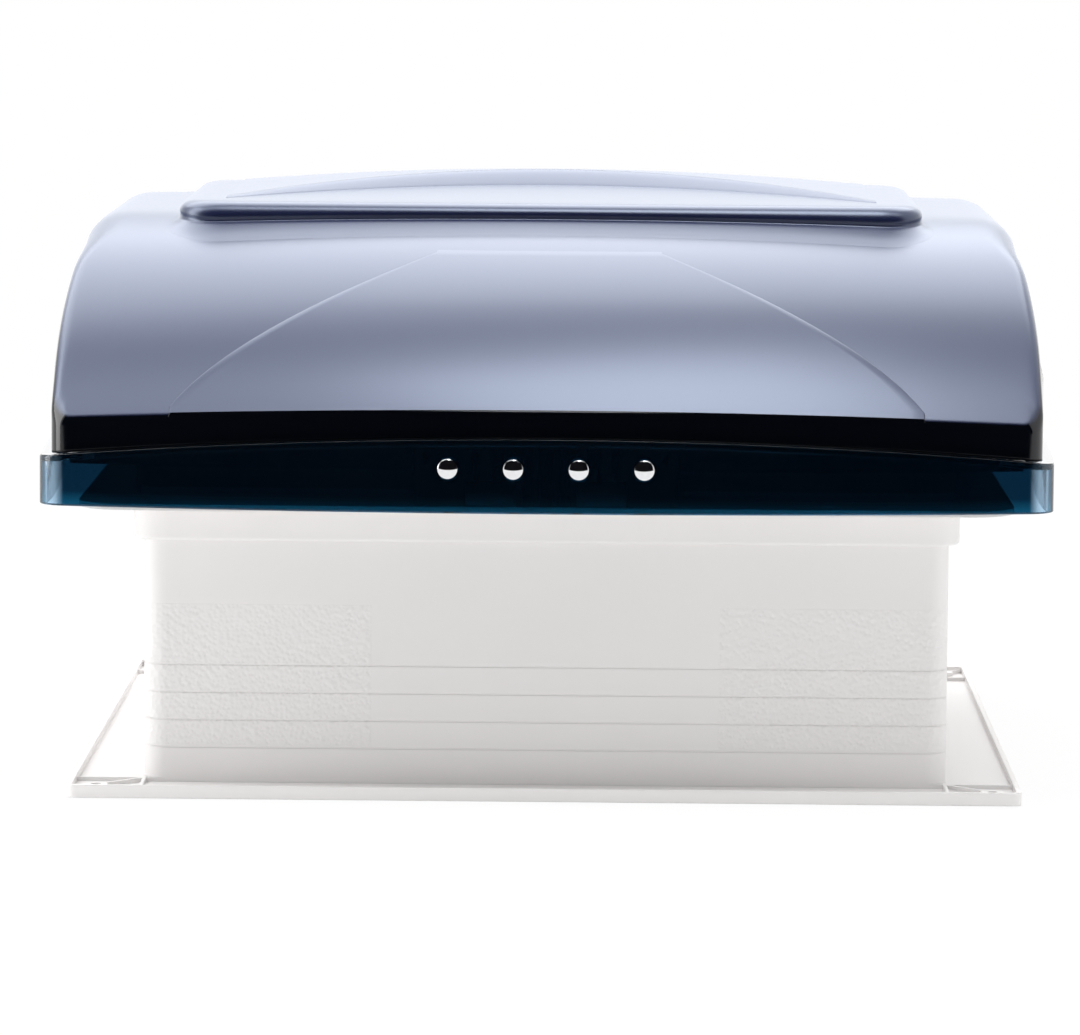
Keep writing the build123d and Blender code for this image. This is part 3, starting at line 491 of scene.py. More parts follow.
def hood_skin():
    """The hood's outer skin without deflector: upright walls, rounded edges and sloping top."""
    half_width, half_depth = length("hood_half_width"), length("skirt_half_depth") - LEDGE_WIDTH
    ridge_r, side_r, shoulder_r = (length(f"{name}_round") for name in ("ridge", "side", "shoulder"))
    stations = plan_rim(half_depth, half_width, 0.0, length("hood_corner"))
    # The rim's inner edge: half its width, and half its depth in its middle.
    far_x, far_y = half_width - RIM_REACH, half_depth - RIM_REACH
    corner_x, corner_y = stations[CORNER_START][0], abs(stations[CORNER_END][1])
    loops = [[] for _ in range(WALL_ROWS + ROUND_ROWS + RIM_ROWS)]
    for x, y, nx, ny, side in stations:
        # Half steps settle on the height where the wall meets the top.
        edge = RIDGE_Z
        for _ in range(EDGE_STEPS):
            inset = side_inset(edge) * side
            edge = 0.5 * edge + 0.5 * top_height(x - nx * inset, y - ny * inset)
        shoulder = smooth(*SHOULDER_SHARE_Z, edge)
        round_r = side_r + (shoulder_r - side_r) * shoulder
        radius = ridge_r + (round_r - ridge_r) * side + CORNER_SWELL * side * (1 - side)
        foot = arch(x)
        low = max(edge - radius, foot + EDGE_ROOM)
        column = []
        for k in range(WALL_ROWS):
            z = foot + (low - foot) * k / (WALL_ROWS - 1)
            out = max(-side_inset(z), flare(y, z)) * side
            column.append((x + nx * out, y + ny * out, z))
        inset = side_inset(edge) * side
        corner = (x - nx * inset, y - ny * inset, edge)
        deep = inset + radius
        landing = (x - nx * deep, y - ny * deep)
        landing = (*landing, top_height(*landing))
        column += bezier(column[-1], corner, landing, ROUND_ROWS)[1:]
        # The island's corner is sharp, so the stations of a rounded corner meet there.
        end_x = x * far_x / corner_x if side == 0 else math.copysign(min(abs(x), far_x), x)
        end_far = far_y - end_x**2 / (2 * PLAN_R)
        end_y = math.copysign(min(abs(y), end_far), y)
        if side == 0:
            end_y = math.copysign(end_far, y)
        if side == 1 and abs(y) <= corner_y:
            end_y = y * end_far / corner_y
        for k in range(1, RIM_ROWS + 1):
            share = k / RIM_ROWS
            px = landing[0] + (end_x - landing[0]) * share
            py = landing[1] + (end_y - landing[1]) * share
            column.append((px, py, top_height(px, py)))
        for loop, point in zip(loops, column):
            loop.append(point)
    top = island(loops[-1], top_height)
    return join(loft(loops), top)


def panel_half(z):
    """Half width of the raised panel at a height, on an arc through its three places."""
    (x1, z1), (x2, z2), (x3, z3) = PANEL_FOOT, PANEL_MID, PANEL_TOP
    a = x1 * (z - z2) * (z - z3) / ((z1 - z2) * (z1 - z3))
    b = x2 * (z - z1) * (z - z3) / ((z2 - z1) * (z2 - z3))
    return a + b + x3 * (z - z1) * (z - z2) / ((z3 - z1) * (z3 - z2))


def slope_point(x, z, raised):
    """A point of the front slope seen from the front at x and z, lifted along its normal."""
    half_depth = length("skirt_half_depth") - LEDGE_WIDTH
    lean = math.acos(min(max((z - SLOPE_CENTRE_Z) / SLOPE_R, math.cos(SLOPE_FOOT)), 1.0))
    radius = SLOPE_PLAN_R - SLOPE_RUN + (SLOPE_R + raised) * math.sin(lean)
    y = SLOPE_PLAN_R - half_depth - math.sqrt(radius**2 - x * x)
    return x, y, SLOPE_CENTRE_Z + (SLOPE_R + raised) * math.cos(lean)


def panel_skin():
    """The raised panel: a thin cap on the slope with narrow rounded edges."""
    half_depth = length("skirt_half_depth") - LEDGE_WIDTH
    rows, columns = [], PANEL_COLUMNS
    for j in range(PANEL_ROWS + 1):
        share = j / PANEL_ROWS
        z = RIDGE_Z + (PANEL_TOP[1] - RIDGE_Z) * share
        half = panel_half(z)
        fade = PANEL_CROWN_FADE + (1 - PANEL_CROWN_FADE) * smooth(0.0, PANEL_FADE_SHARE, 1 - share)
        row = []
        for i in range(-2, columns + 3):
            u = min(max(i / columns, 0.0), 1.0) * 2 - 1
            x = u * half
            lift = PANEL_STEP * fade
            if i in (-2, columns + 2):
                lift, x = -PANEL_SINK, x + math.copysign(PANEL_EDGE_OUT, u)
            elif i in (-1, columns + 1):
                lift *= PANEL_EDGE_FALL
            elif i in (0, columns):
                x -= math.copysign(PANEL_EDGE_IN, u)
            row.append(slope_point(x, z, lift))
        rows.append(row)
    crown = [slope_point(p[0], PANEL_TOP[1] + PANEL_CROWN_RUN, -PANEL_SINK) for p in rows[-1]]
    nose = []
    for x, y, z in rows[0]:
        front = -half_depth + x * x / (2 * PLAN_R)
        nose.append((x, front - PANEL_NOSE_GAP, z - (y - front) * math.tan(SLOPE_FOOT)))
    under = [(x, y, z - PANEL_NOSE_DEPTH) for x, y, z in nose]
    return patch([under, nose] + rows + [crown])


def deflector_skin():
    """The low platform on the hood with its rolled front lip."""
    middle = (DEFLECTOR_FRONT + DEFLECTOR_REAR) / 2
    half_depth = (DEFLECTOR_REAR - DEFLECTOR_FRONT) / 2
    top = TOP_Z + DEFLECTOR_RISE
    stations = plan_rim(half_depth, DEFLECTOR_HALF, 0.0, DEFLECTOR_CORNER, STRAIGHT_R)
    loops = []
    for out, share in LIP_SHARES:
        loop = []
        for x, y, nx, ny, side in stations:
            # The cove under the lip is full at the front only.
            front = max(-ny, 0.0) if share < COVE_SHARE else 1.0
            reach = out * (COVE_SIDE_REACH + (1 - COVE_SIDE_REACH) * front)
            px, py = x + nx * reach, y + ny * reach + middle
            floor = top_height(px, py)
            rise = (top - floor) * share * (COVE_SIDE_RISE + (1 - COVE_SIDE_RISE) * front)
            loop.append((px, py, floor + rise))
        loops.append(loop)
    last = []
    flat_x, flat_y = DEFLECTOR_HALF - DEFLECTOR_FLAT, half_depth - DEFLECTOR_FLAT
    for x, y, nx, ny, side in stations:
        px = math.copysign(min(abs(x), flat_x), x)
        py = math.copysign(min(abs(y), flat_y), y)
        if side == 0:
            px = x * flat_x / stations[CORNER_START][0]
        if side == 1:
            py = y * flat_y / abs(stations[CORNER_END][1])
        last.append((px, py + middle, top))
    loops.append(last)
    return join(loft(loops), island(last, lambda x, y: top))


def crest_skin():
    """The crowned rear of the deflector behind its curved step."""
    top = TOP_Z + DEFLECTOR_RISE
    rear = DEFLECTOR_REAR - CREST_EDGE
    back = rear - 2 * CREST_ROUND
    sunk = top - CREST_SINK
    lanes = []
    for i in range(CREST_COLUMNS + 1):
        t = i / CREST_COLUMNS
        x = (2 * t - 1) * CREST_FOOT_HALF
        step_y = CREST_FOOT_REAR + (CREST_FOOT_FRONT - CREST_FOOT_REAR) * (x / CREST_FOOT_HALF) ** 2
        rise = CREST_RISE * (1 - (x / CREST_HALF) ** 2)
        run = CREST_FRONT_RUN + CREST_LEAN * rise
        # The step starts a hair above the deflector and leans back to the crown.
        start, foot = [(x, step_y + out, top + up) for out, up in CREST_FOOT]
        bend = (x, step_y + run * CREST_BEND[0], top + rise * CREST_BEND[1])
        lane = [(x, step_y, sunk), start]
        lane += bezier(foot, bend, (x, step_y + run, top + rise), CREST_ROWS)
        for k in range(1, CREST_ROWS + 1):
            lane.append((x, step_y + run + (back - step_y - run) * k / CREST_ROWS, top + rise))
        far = (x, rear, top + rise)
        lane += bezier((x, back, top + rise), far, (x, rear, sunk), CREST_ROUND_ROWS)[1:]
        lanes.append(lane)
    return patch(lanes)


def skirt_column(x):
    """Insets and heights of the skirt's section from its foot over the ledge, and back inside."""
    foot, ledge = length("skirt_foot"), arch(x)
    step = LEDGE_WEB + STEP_WALL
    out = [(inset, foot + rise) for inset, rise in FOOT_ROUND]
    low, high = out[-1][1], ledge - LEDGE_FLAT
    out += [(0.0, low + (high - low) * k / SKIRT_ROWS) for k in range(1, SKIRT_ROWS + 1)]
    out += [(inset, ledge - drop) for inset, drop in LEDGE_ROUND]
    out += [(LEDGE_WIDTH, ledge), (step, ledge), (step, FLANGE_Z + FLANGE_THICK)]
    edge = FOOT_ROUND[0][0]
    back = [(LEDGE_WEB, FLANGE_Z), (LEDGE_WEB, ledge - LID_WALL), (LID_WALL, ledge - LID_WALL)]
    back += [(LID_WALL, foot + edge), (LID_WALL - edge, foot), (edge, foot)]
    return out, back


def inset_loops(stations, columns):
    """Loops round the stations, one for each inset and height of their columns."""
    loops = []
    for k in range(len(columns[0])):
        loop = []
        for (x, y, nx, ny, side), column in zip(stations, columns):
            inset, z = column[k]
            loop.append((x - nx * inset, y - ny * inset, z))
        loops.append(loop)
    return loops


def skirt_skin():
    """The skirt as a closed wall with its ledge, inner step and flange."""
    straight_half = length("skirt_half_width") - SIDE_BOW
    stations = plan_rim(length("skirt_half_depth"), straight_half, SIDE_BOW, length("skirt_corner"))
    columns = [skirt_column(station[0]) for station in stations]
    loops = inset_loops(stations, [out for out, back in columns])
    for z in (FLANGE_Z + FLANGE_THICK, FLANGE_Z):
        loop = []
        for x, y, nx, ny, side in stations:
            well_x, well_y = min(abs(x), FLANGE_HALF), min(abs(y), FLANGE_HALF)
            loop.append((math.copysign(well_x, x), math.copysign(well_y, y), z))
        loops.append(loop)
    loops += inset_loops(stations, [back for out, back in columns])
    return loft(loops)


def dome_skin(x, y, z, radius, height, tip_y):
    """A chrome screw: a low dome with a rolled rim, and its shank towards +Y."""
    ball = (radius**2 + height**2) / (2 * height)
    profile = []
    for k in range(DOME_ROWS + 1):
        lean = math.asin(min(radius / ball, 1.0)) * k / DOME_ROWS
        profile.append((ball * math.sin(lean), y - height + ball * (1 - math.cos(lean))))
    profile += [(radius + out, y + run) for out, run in DOME_RIM]
    profile += [(SHANK_R, y + DOME_RIM[-1][1]), (SHANK_R, tip_y), (0.0, tip_y)]
    turns = [2 * math.pi * i / DOME_SIDES for i in range(DOME_SIDES)]
    loops = []
    for r, py in profile:
        loops.append([(x + r * math.cos(turn), py, z + r * math.sin(turn)) for turn in turns])
    return loft(loops)


def node(tree, kind, settings=None, links=None):
    """Adds a node with its settings, and links its inputs to sockets or to nodes' first outputs."""
    made = tree.nodes.new(kind)
    for name, value in (settings or {}).items():
        if kind == "ShaderNodeMix" and name in ("A", "B"):
            colour_in(made, name).default_value = value
        elif isinstance(name, int) or name in made.inputs.keys():
            made.inputs[name].default_value = value
        else:
            setattr(made, name, value)
    for socket, source in (links or {}).items():
        mixed = kind == "ShaderNodeMix" and socket != "Factor"
        target = colour_in(made, socket) if mixed else made.inputs[socket]
        tree.links.new(source.outputs[0] if isinstance(source, bpy.types.Node) else source, target)
    return made


def colour_in(mix, name):
    """The colour input of a mix node that has one of each name for each kind of value."""
    return [socket for socket in mix.inputs if socket.type == "RGBA" and socket.name == name][0]


def new_finish(name):
    """An empty node material and its tree."""
    finish = bpy.data.materials.new(name)
    finish.use_nodes = True
    finish.node_tree.nodes.clear()
    return finish, finish.node_tree


def grain(tree, size_mm, detail=2.0):
    """Fine noise whose cells are about a size in millimetres."""
    place = node(tree, "ShaderNodeTexCoord")
    return node(
        tree, "ShaderNodeTexNoise", {"Scale": 1 / (size_mm * MM), "Detail": detail, "Roughness": 0.6},
        {"Vector": place.outputs["Object"]},
    )


def bump(tree, height, distance_mm):
    """A bump from a height socket, over edges softened by half a millimetre."""
    edge = node(tree, "ShaderNodeBevel", {"Radius": 0.5 * MM, "samples": EDGE_SAMPLES})
    return node(
        tree, "ShaderNodeBump", {"Strength": 1.0, "Distance": distance_mm * MM},
        {"Height": height, "Normal": edge},
    )


def spread(tree, source, low, high):
    """A source's middle half, where most of a noise lies, spread over a range."""
    return node(
        tree, "ShaderNodeMapRange",
        {"From Min": 0.25, "From Max": 0.75, "To Min": low, "To Max": high}, {"Value": source},
    )


def tint(tree, source, base, amount):
    """A colour that drifts darker and lighter with a source."""
    dark = (*[c * (1 - amount) for c in base], 1)
    light = (*[min(c * (1 + amount), 1) for c in base], 1)
    mix = node(tree, "ShaderNodeMix", {"data_type": "RGBA", "A": dark, "B": light}, {"Factor": source})
    return colour_out(mix)


def colour_out(mix):
    """The colour output of a mix node that has one for each kind of value."""
    return [socket for socket in mix.outputs if socket.type == "RGBA"][0]


def plastic(name, base, roughness, grain_mm, depth_mm, drift):
    """A moulded plastic: even colour with slight drift, and a fine moulded grain."""
    finish, tree = new_finish(name)
    fine = grain(tree, grain_mm)
    broad = grain(tree, DRIFT_SIZE, detail=1.0)
    shader = node(
        tree, "ShaderNodeBsdfPrincipled", {"IOR": 1.5},
        {
            "Base Color": tint(tree, broad, base, drift),
            "Roughness": spread(tree, fine, roughness - SHEEN_RANGE, roughness + SHEEN_RANGE),
            "Normal": bump(tree, fine, depth_mm),
        },
    )
    node(tree, "ShaderNodeOutputMaterial", {}, {"Surface": shader})
    return finish


def satin_smoked_acrylic(name, walls):
    """Smoked acrylic, vacuum formed: a satin skin over a deep blue body, with polished walls painted darker
    as shade if asked.
    """
    finish, tree = new_finish(name)
    fine, broad = grain(tree, 0.45), grain(tree, DRIFT_SIZE, detail=1.0)
    body = tint(tree, broad, colours()["hood"], 0.06)
    soft = bump(tree, fine, 0.012)
    satin = node(
        tree, "ShaderNodeBsdfPrincipled",
        {
            "IOR": 1.5, "Specular IOR Level": 1.0, "Specular Tint": (0.72, 0.82, 1.0, 1.0),
            "Coat Weight": 0.7, "Coat Roughness": 0.3, "Coat IOR": 1.5, "Coat Tint": (0.8, 0.88, 1.0, 1.0),
        },
        {"Base Color": body, "Normal": soft, "Roughness": spread(tree, fine, 0.27, 0.35)},
    )
    if not walls:
        node(tree, "ShaderNodeOutputMaterial", {}, {"Surface": satin})
        return finish
    edge = node(tree, "ShaderNodeBevel", {"Radius": 0.6 * MM, "samples": EDGE_SAMPLES})
    # Painted shade: the polished walls use the darker wall colour.
    polished = node(
        tree, "ShaderNodeBsdfPrincipled", {"IOR": 1.49, "Roughness": 0.07},
        {"Base Color": tint(tree, broad, colours()["wall"], 0.06), "Normal": edge},
    )
    # Polished, and painted darker as shade, where the surface stands steeper than the slope's foot.
    facing = node(tree, "ShaderNodeNewGeometry")
    up = node(tree, "ShaderNodeSeparateXYZ", {}, {"Vector": facing.outputs["Normal"]})
    share = node(
        tree, "ShaderNodeMapRange",
        {"From Min": 0.36, "From Max": 0.62, "interpolation_type": "SMOOTHSTEP"},
        {"Value": up.outputs["Z"]},
    )
    mix = node(tree, "ShaderNodeMixShader", {}, {0: share, 1: polished, 2: satin})
    node(tree, "ShaderNodeOutputMaterial", {}, {"Surface": mix})
    return finish


def clear_blue_acrylic():
    """Polished blue acrylic: dark where it looks into the lid, with painted light near its foot and a
    painted highlight in its corners.
    """
    finish, tree = new_finish("clear_blue_acrylic")
    broad = grain(tree, 80.0, detail=1.0)
    edge = node(tree, "ShaderNodeBevel", {"Radius": 0.4 * MM, "samples": EDGE_SAMPLES})
    facing = node(tree, "ShaderNodeNewGeometry")
    sides = node(tree, "ShaderNodeSeparateXYZ", {}, {"Vector": facing.outputs["Normal"]})
    # The corners get a painted highlight: a corner faces both ways at once, which the product of both parts
    # of its normal tells.
    wide = node(tree, "ShaderNodeMath", {"operation": "ABSOLUTE"}, {0: sides.outputs["X"]})
    deep = node(tree, "ShaderNodeMath", {"operation": "ABSOLUTE"}, {0: sides.outputs["Y"]})
    turn = node(tree, "ShaderNodeMath", {"operation": "MULTIPLY"}, {0: wide, 1: deep})
    share = node(tree, "ShaderNodeMapRange", {"From Min": 0.2, "From Max": 0.5}, {"Value": turn})
    place = node(tree, "ShaderNodeTexCoord")
    axes = node(tree, "ShaderNodeSeparateXYZ", {}, {"Vector": place.outputs["Object"]})
    # Painted light: the colour turns lighter towards the skirt's foot.
    foot = node(
        tree, "ShaderNodeMapRange", {"From Min": PAINTED_GLOW_TOP * MM, "From Max": PAINTED_GLOW_FOOT * MM},
        {"Value": axes.outputs["Z"]},
    )
    lower = node(
        tree, "ShaderNodeMix", {"data_type": "RGBA", "B": (*colours()["skirt_glow"], 1)},
        {"Factor": foot, "A": tint(tree, broad, colours()["skirt"], 0.08)},
    )
    # Painted highlight: the corners are mixed towards a light blue.
    body = node(
        tree, "ShaderNodeMix", {"data_type": "RGBA", "B": (*colours()["skirt_corner"], 1)},
        {"Factor": share, "A": colour_out(lower)},
    )
    shader = node(
        tree, "ShaderNodeBsdfPrincipled",
        {"IOR": 1.49, "Transmission Weight": 0.92, "Roughness": 0.05, "Specular IOR Level": 0.5},
        {"Base Color": colour_out(body), "Normal": edge},
    )
    node(tree, "ShaderNodeOutputMaterial", {}, {"Surface": shader})
    return finish


def white_abs():
    """White ABS, injection moulded: an even sheen, with a fine pebble drawn coarser so that it shows."""
    finish, tree = new_finish("white_abs_pebbled")
    place = node(tree, "ShaderNodeTexCoord")
    axes = node(tree, "ShaderNodeSeparateXYZ", {}, {"Vector": place.outputs["Object"]})
    pebble = node(
        tree, "ShaderNodeTexVoronoi",
        {"Scale": 1 / (PEBBLE_SIZE * MM), "feature": "SMOOTH_F1", "Smoothness": 0.5},
        {"Vector": place.outputs["Object"]},
    )
    fine = grain(tree, 0.5)
    broad = grain(tree, 90.0, detail=1.0)
    mask = panel_mask(tree, axes)
    raised = node(
        tree, "ShaderNodeMath", {"operation": "MULTIPLY"}, {0: pebble.outputs["Distance"], 1: mask}
    )
    edge = node(tree, "ShaderNodeBevel", {"Radius": 0.8 * MM, "samples": EDGE_SAMPLES})
    first = node(
        tree, "ShaderNodeBump", {"Strength": 0.65, "Distance": 0.5 * MM},
        {"Height": raised, "Normal": edge},
    )
    second = node(
        tree, "ShaderNodeBump", {"Strength": 1.0, "Distance": 0.006 * MM},
        {"Height": fine, "Normal": first},
    )
    shader = node(
        tree, "ShaderNodeBsdfPrincipled", {"IOR": 1.53},
        {
            "Base Color": tint(tree, broad, colours()["white"], 0.015),
            "Roughness": spread(tree, fine, 0.38, 0.46),
            "Normal": second,
        },
    )
    node(tree, "ShaderNodeOutputMaterial", {}, {"Surface": shader})
    return finish


def within(tree, source, low, high):
    """One where a source lies between two lengths in millimetres, and zero elsewhere."""
    over = node(tree, "ShaderNodeMath", {"operation": "GREATER_THAN", 1: low * MM}, {0: source})
    under = node(tree, "ShaderNodeMath", {"operation": "LESS_THAN", 1: high * MM}, {0: source})
    return node(tree, "ShaderNodeMath", {"operation": "MULTIPLY"}, {0: over, 1: under})


def panel_mask(tree, axes):
    """One inside the two pebbled panels of each neck wall and zero elsewhere."""
    tests = []
    for name in ("X", "Y"):
        out = node(tree, "ShaderNodeMath", {"operation": "ABSOLUTE"}, {0: axes.outputs[name]})
        tests.append(within(tree, out, *PEBBLE_OUT))
    either = node(tree, "ShaderNodeMath", {"operation": "MAXIMUM"}, {0: tests[0], 1: tests[1]})
    band = within(tree, axes.outputs["Z"], *PEBBLE_UP)
    return node(tree, "ShaderNodeMath", {"operation": "MULTIPLY"}, {0: band, 1: either})


def metal(name, base, roughness, grain_mm, stretch=(1, 1, 1)):
    """A metal with fine lines or grain in its roughness."""
    finish, tree = new_finish(name)
    place = node(tree, "ShaderNodeTexCoord")
    drawn = node(tree, "ShaderNodeMapping", {"Scale": stretch}, {"Vector": place.outputs["Object"]})
    lines = node(
        tree, "ShaderNodeTexNoise", {"Scale": 1 / (grain_mm * MM), "Detail": 3.0}, {"Vector": drawn}
    )
    edge = node(tree, "ShaderNodeBevel", {"Radius": 0.3 * MM, "samples": EDGE_SAMPLES})
    shader = node(
        tree, "ShaderNodeBsdfPrincipled", {"Metallic": 1.0},
        {
            "Base Color": tint(tree, lines, base, 0.06),
            "Roughness": spread(tree, lines, roughness * 0.8, roughness * 1.25),
            "Normal": edge,
        },
    )
    node(tree, "ShaderNodeOutputMaterial", {}, {"Surface": shader})
    return finish


def woven_screen():
    """Woven glass-fibre screen: a dark open weave, drawn coarser than the real one so that it shows."""
    finish, tree = new_finish("woven_fibre_screen")
    place = node(tree, "ShaderNodeTexCoord")
    axes = node(tree, "ShaderNodeSeparateXYZ", {}, {"Vector": place.outputs["Object"]})
    hits = []
    for name in ("X", "Y"):
        turns = node(
            tree, "ShaderNodeMath", {"operation": "DIVIDE", 1: SCREEN_PITCH * MM}, {0: axes.outputs[name]}
        )
        part = node(tree, "ShaderNodeMath", {"operation": "FRACT"}, {0: turns})
        hits.append(node(tree, "ShaderNodeMath", {"operation": "LESS_THAN", 1: THREAD_SHARE}, {0: part}))
    either = node(tree, "ShaderNodeMath", {"operation": "MAXIMUM"}, {0: hits[0], 1: hits[1]})
    fibre = node(
        tree, "ShaderNodeBsdfPrincipled", {"Base Color": (0.06, 0.06, 0.065, 1), "Roughness": 0.6}
    )
    gap = node(tree, "ShaderNodeBsdfTransparent")
    mix = node(tree, "ShaderNodeMixShader", {}, {0: either, 1: gap, 2: fibre})
    node(tree, "ShaderNodeOutputMaterial", {}, {"Surface": mix})
    return finish


def cad_finishes():
    """Each kept CAD node's finish, by name."""
    shades = colours()
    abs_white = white_abs()
    # ASA, moulded against a spark-eroded tool: soft even sheen.
    asa = plastic(
        "white_asa_moulded", shades["white"], roughness=0.42, grain_mm=0.5, depth_mm=0.006, drift=0.015
    )
    # Polystyrene sheet, vacuum formed: smooth, with a low gloss.
    liner = plastic(
        "white_liner_polystyrene", shades["white"], roughness=0.34, grain_mm=0.8, depth_mm=0.01, drift=0.02
    )
    # Nylon, moulded: black with a faint sheen.
    nylon = plastic(
        "black_nylon_moulded", shades["black"], roughness=0.38, grain_mm=0.4, depth_mm=0.012, drift=0.1
    )
    # EPDM rubber, moulded: black and dull.
    seal = plastic(
        "epdm_rubber_seal", shades["rubber"], roughness=0.7, grain_mm=0.3, depth_mm=0.02, drift=0.15
    )
    # Aluminium, drawn and anodised: satin, with lines along the bar.
    aluminium = metal(
        "satin_anodised_aluminium", shades["aluminium"], roughness=0.3, grain_mm=0.8, stretch=(1, 0.02, 1)
    )
    # Steel, zinc plated: pale, a little warm and mottled.
    zinc = metal("zinc_plated_steel", shades["zinc"], roughness=0.26, grain_mm=1.5)
    screen = woven_screen()
    pairs = {
        "stay_bracket": zinc, "pivot_bolt": zinc, "stay": aluminium, "knob": nylon,
        "stay_rail": aluminium, "stay_shoe": nylon, "catch": nylon, "catch_keeper": zinc,
    }
    return {
        "ceiling_frame": abs_white, "roof_frame": asa, "screen_frame": abs_white, "screen_mesh": screen,
        "kerb_seal": seal, "lid_liner": liner, "hinge_base": nylon, "hinge_block": nylon,
        "hinge_base_screws": zinc, "hinge_pin": zinc, "hinge_nuts": zinc, "liner_screws": zinc,
        "rail_screws": zinc, "handle_screws": zinc, "catch_screws": zinc, "grab_handle": nylon,
        **{f"{name}_{side}": made for side in ("left", "right") for name, made in pairs.items()},
    }


class VentOperator(bpy.types.Operator):
    """Shared base of the vent's operators."""

    bl_options = {"REGISTER", "UNDO"}


class VENT_OT_hood(VentOperator):
    """Builds the tinted hood with its raised panel, deflector and crest"""

    bl_idname = "vent.hood"
    bl_label = "Hood"

    def execute(self, context):
        walled = satin_smoked_acrylic("satin_smoked_acrylic_polished_walls", True)
        satin = satin_smoked_acrylic("satin_smoked_acrylic", False)
        piece(
            "hood_shell", hood_skin(), walled, "lid", replaced=("lid_hood",),
            sharp=50.0, wall=LID_WALL,
        )
        piece("hood_panel", panel_skin(), walled, "lid", sharp=30.0)
        piece("hood_deflector", deflector_skin(), satin, "lid", sharp=60.0)
        piece("hood_crest", crest_skin(), satin, "lid", sharp=60.0)
        return {"FINISHED"}


class VENT_OT_skirt(VentOperator):
    """Builds the clear blue skirt under the hood"""

    bl_idname = "vent.skirt"
    bl_label = "Skirt"

    def execute(self, context):
        acrylic = clear_blue_acrylic()
        piece(
            "skirt_shell", skirt_skin(), acrylic, "lid", replaced=("lid_skirt",), sharp=35.0
        )
        return {"FINISHED"}


class VENT_OT_domes(VentOperator):
    """Builds the four chrome dome screws of the hinge"""

    bl_idname = "vent.domes"
    bl_label = "Dome screws"

    def execute(self, context):
        # Steel, polished and chrome plated: a cold mirror.
        chrome = metal("polished_chrome_plate", colours()["chrome"], roughness=0.05, grain_mm=2.0)
        low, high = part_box("hinge_screws")
        radius, height = length("dome_r"), length("dome_height")
        first, last = low.x / MM + radius, high.x / MM - radius
        middle_z = (low.z + high.z) / 2 / MM
        skins = []
        for i in range(DOME_COUNT):
            x = first + (last - first) * i / (DOME_COUNT - 1)
            seat = -length("skirt_half_depth") + x * x / (2 * PLAN_R) + DOME_STAND
            skins.append(dome_skin(x, seat, middle_z, radius, height, high.y / MM))
        piece("dome_screws", join(*skins), chrome, "lid", replaced=("hinge_screws",), sharp=30.0)
        return {"FINISHED"}


class VENT_OT_finishes(VentOperator):
    """Gives each kept node of the frame its finish"""

    bl_idname = "vent.finishes"
    bl_label = "Finishes"

    def execute(self, context):
        for name, finish in cad_finishes().items():
            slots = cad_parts[name].data.materials
            slots.clear()
            slots.append(finish)
        return {"FINISHED"}


class VENT_OT_stage(VentOperator):
    """Builds the white floor, the lamps, the dark card and the camera"""

    bl_idname = "vent.stage"
    bl_label = "Stage"

    def execute(self, context):
        white_world()
        floor = flat("floor", FLOOR_SIZE, FLOOR_PLACE, floor_finish())
        card = flat("dark_card", CARD_SIZE, CARD_PLACE, card_finish(), math.radians(90))
        for ray in ("camera", "diffuse", "transmission", "shadow", "volume_scatter"):
            setattr(card, f"visible_{ray}", False)
        for settings in LAMPS:
            lamp(*settings)
        camera()
        return {"FINISHED"}


class VENT_PT_panel(bpy.types.Panel):
    """Lists the vent's operators, sizes and colours"""

    bl_label = "Roof vent"
    bl_idname = "VENT_PT_panel"
    bl_space_type = "VIEW_3D"
    bl_region_type = "UI"
    bl_category = "Vent"

    def draw(self, context):
        for operator in OPERATORS:
            self.layout.operator(operator.bl_idname)
        for group in (context.scene.vent_sizes, context.scene.vent_colours):
            for name in type(group).__annotations__:
                self.layout.prop(group, name)


def rays(tree):
    """One for camera, glossy and transmission rays, which see the white surroundings."""
    path = node(tree, "ShaderNodeLightPath")
    first = node(
        tree, "ShaderNodeMath", {"operation": "MAXIMUM"},
        {0: path.outputs["Is Camera Ray"], 1: path.outputs["Is Glossy Ray"]},
    )
    return node(
        tree, "ShaderNodeMath", {"operation": "MAXIMUM"}, {0: first, 1: path.outputs["Is Transmission Ray"]}
    )


def white_world():
    """White surroundings that the camera and shiny things see, and a plainer light for the rest."""
    world = bpy.data.worlds.new("white_studio")
    bpy.context.scene.world = world
    world.use_nodes = True
    tree = world.node_tree
    tree.nodes.clear()
    power = node(tree, "ShaderNodeMapRange", {"To Min": WORLD_LEVEL, "To Max": 1.0}, {"Value": rays(tree)})
    back = node(tree, "ShaderNodeBackground", {"Color": (1, 1, 1, 1)}, {"Strength": power})
    node(tree, "ShaderNodeOutputWorld", {}, {"Surface": back})


def floor_finish():
    """White paper floor that keeps a soft shadow under the flange."""
    finish, tree = new_finish("white_paper_sweep")
    paper = node(tree, "ShaderNodeBsdfDiffuse", {"Color": (0.88, 0.88, 0.88, 1)})
    glow = node(tree, "ShaderNodeEmission", {"Color": (1, 1, 1, 1), "Strength": 1.0})
    share = node(tree, "ShaderNodeMapRange", {"To Min": 0.0, "To Max": PAPER_GLOW}, {"Value": rays(tree)})
    mix = node(tree, "ShaderNodeMixShader", {}, {0: share, 1: paper, 2: glow})
    # From below the sheet is clear, so that the underside of the vent can be seen.
    facing = node(tree, "ShaderNodeNewGeometry")
    clear = node(tree, "ShaderNodeBsdfTransparent")
    sided = node(tree, "ShaderNodeMixShader", {}, {0: facing.outputs["Backfacing"], 1: mix, 2: clear})
    node(tree, "ShaderNodeOutputMaterial", {}, {"Surface": sided})
    return finish


def card_finish():
    """Black felt card that only reflections see."""
    finish, tree = new_finish("black_felt_card")
    felt = node(tree, "ShaderNodeBsdfDiffuse", {"Color": (0.004, 0.004, 0.005, 1)})
    node(tree, "ShaderNodeOutputMaterial", {}, {"Surface": felt})
    return finish


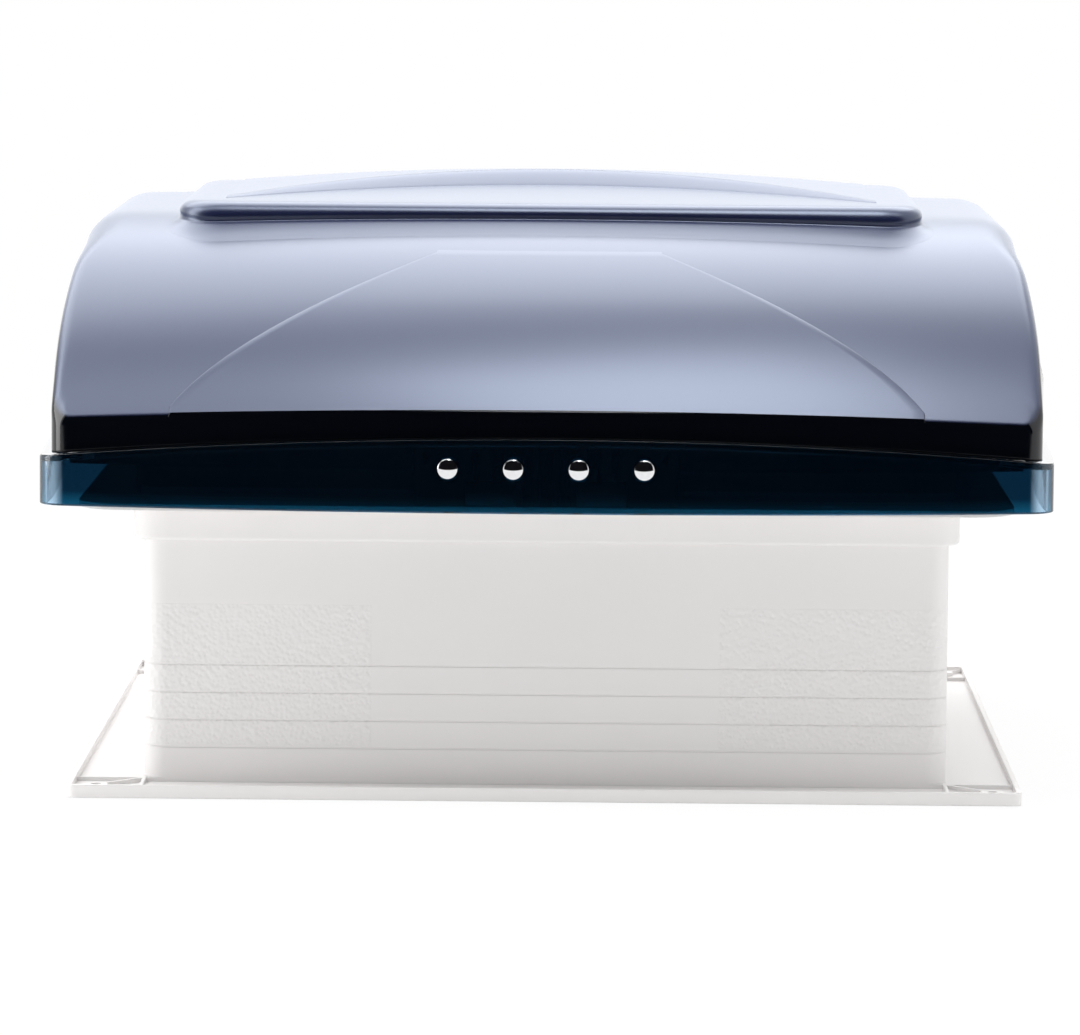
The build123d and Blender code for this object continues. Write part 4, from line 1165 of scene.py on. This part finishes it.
def flat(name, size_m, place, finish, lean=0.0):
    """A flat sheet of the stage, in metres."""
    mesh = bpy.data.meshes.new(name)
    x, y = size_m[0] / 2, size_m[1] / 2
    mesh.from_pydata([(-x, -y, 0), (x, -y, 0), (x, y, 0), (-x, y, 0)], [], [(0, 1, 2, 3)])
    mesh.materials.append(finish)
    thing = bpy.data.objects.new(name, mesh)
    thing.location = place
    thing.rotation_euler = (lean, 0, 0)
    bpy.context.scene.collection.objects.link(thing)
    return thing


def lamp(name, place, target, width, height, level, glossy):
    """A soft box lamp of a size in metres and a brightness beside plain white."""
    data = bpy.data.lights.new(name, "AREA")
    data.shape = "RECTANGLE"
    data.size, data.size_y = width, height
    data.energy = level * math.pi * width * height
    thing = bpy.data.objects.new(name, data)
    thing.location = place
    thing.rotation_euler = (Vector(target) - Vector(place)).to_track_quat("-Z", "Y").to_euler()
    thing.visible_glossy = glossy
    thing.visible_camera = False
    bpy.context.scene.collection.objects.link(thing)


def camera():
    """The camera, turned so that depth lines meet where the picture has them."""
    data = bpy.data.cameras.new("camera")
    data.sensor_width = SENSOR_WIDTH
    data.lens = FOCAL_PIXELS / PICTURE_WIDTH * SENSOR_WIDTH
    thing = bpy.data.objects.new("camera", data)
    thing.location = Vector(CAMERA_PLACE) * MM
    yaw = math.atan2(DEPTH_POINT[0] - PICTURE_WIDTH / 2, FOCAL_PIXELS)
    pitch = math.atan2(PICTURE_HEIGHT / 2 - DEPTH_POINT[1], FOCAL_PIXELS)
    ahead = math.cos(pitch)
    aim = Vector((-math.sin(yaw) * ahead, math.cos(yaw) * ahead, -math.sin(pitch)))
    turn = aim.to_track_quat("-Z", "Y")
    thing.rotation_mode = "QUATERNION"
    thing.rotation_quaternion = turn @ Quaternion((0, 0, 1), CAMERA_ROLL)
    data.clip_start, data.clip_end = CLIP_RANGE
    bpy.context.scene.collection.objects.link(thing)
    bpy.context.scene.camera = thing


OPERATORS = (VENT_OT_finishes, VENT_OT_hood, VENT_OT_skirt, VENT_OT_domes, VENT_OT_stage)
CLASSES = (VentSizes, VentColours, *OPERATORS, VENT_PT_panel)


def register():
    for kind in CLASSES:
        bpy.utils.register_class(kind)
    bpy.types.Scene.vent_sizes = PointerProperty(type=VentSizes)
    bpy.types.Scene.vent_colours = PointerProperty(type=VentColours)


def unregister():
    del bpy.types.Scene.vent_colours
    del bpy.types.Scene.vent_sizes
    for kind in reversed(CLASSES):
        bpy.utils.unregister_class(kind)


def main():
    """Builds every piece in order."""
    register()
    bpy.context.scene.view_settings.view_transform = "Standard"
    bpy.ops.vent.finishes()
    bpy.ops.vent.hood()
    bpy.ops.vent.skirt()
    bpy.ops.vent.domes()
    bpy.ops.vent.stage()
    bpy.context.view_layer.update()


if __name__ == "__main__":
    main()
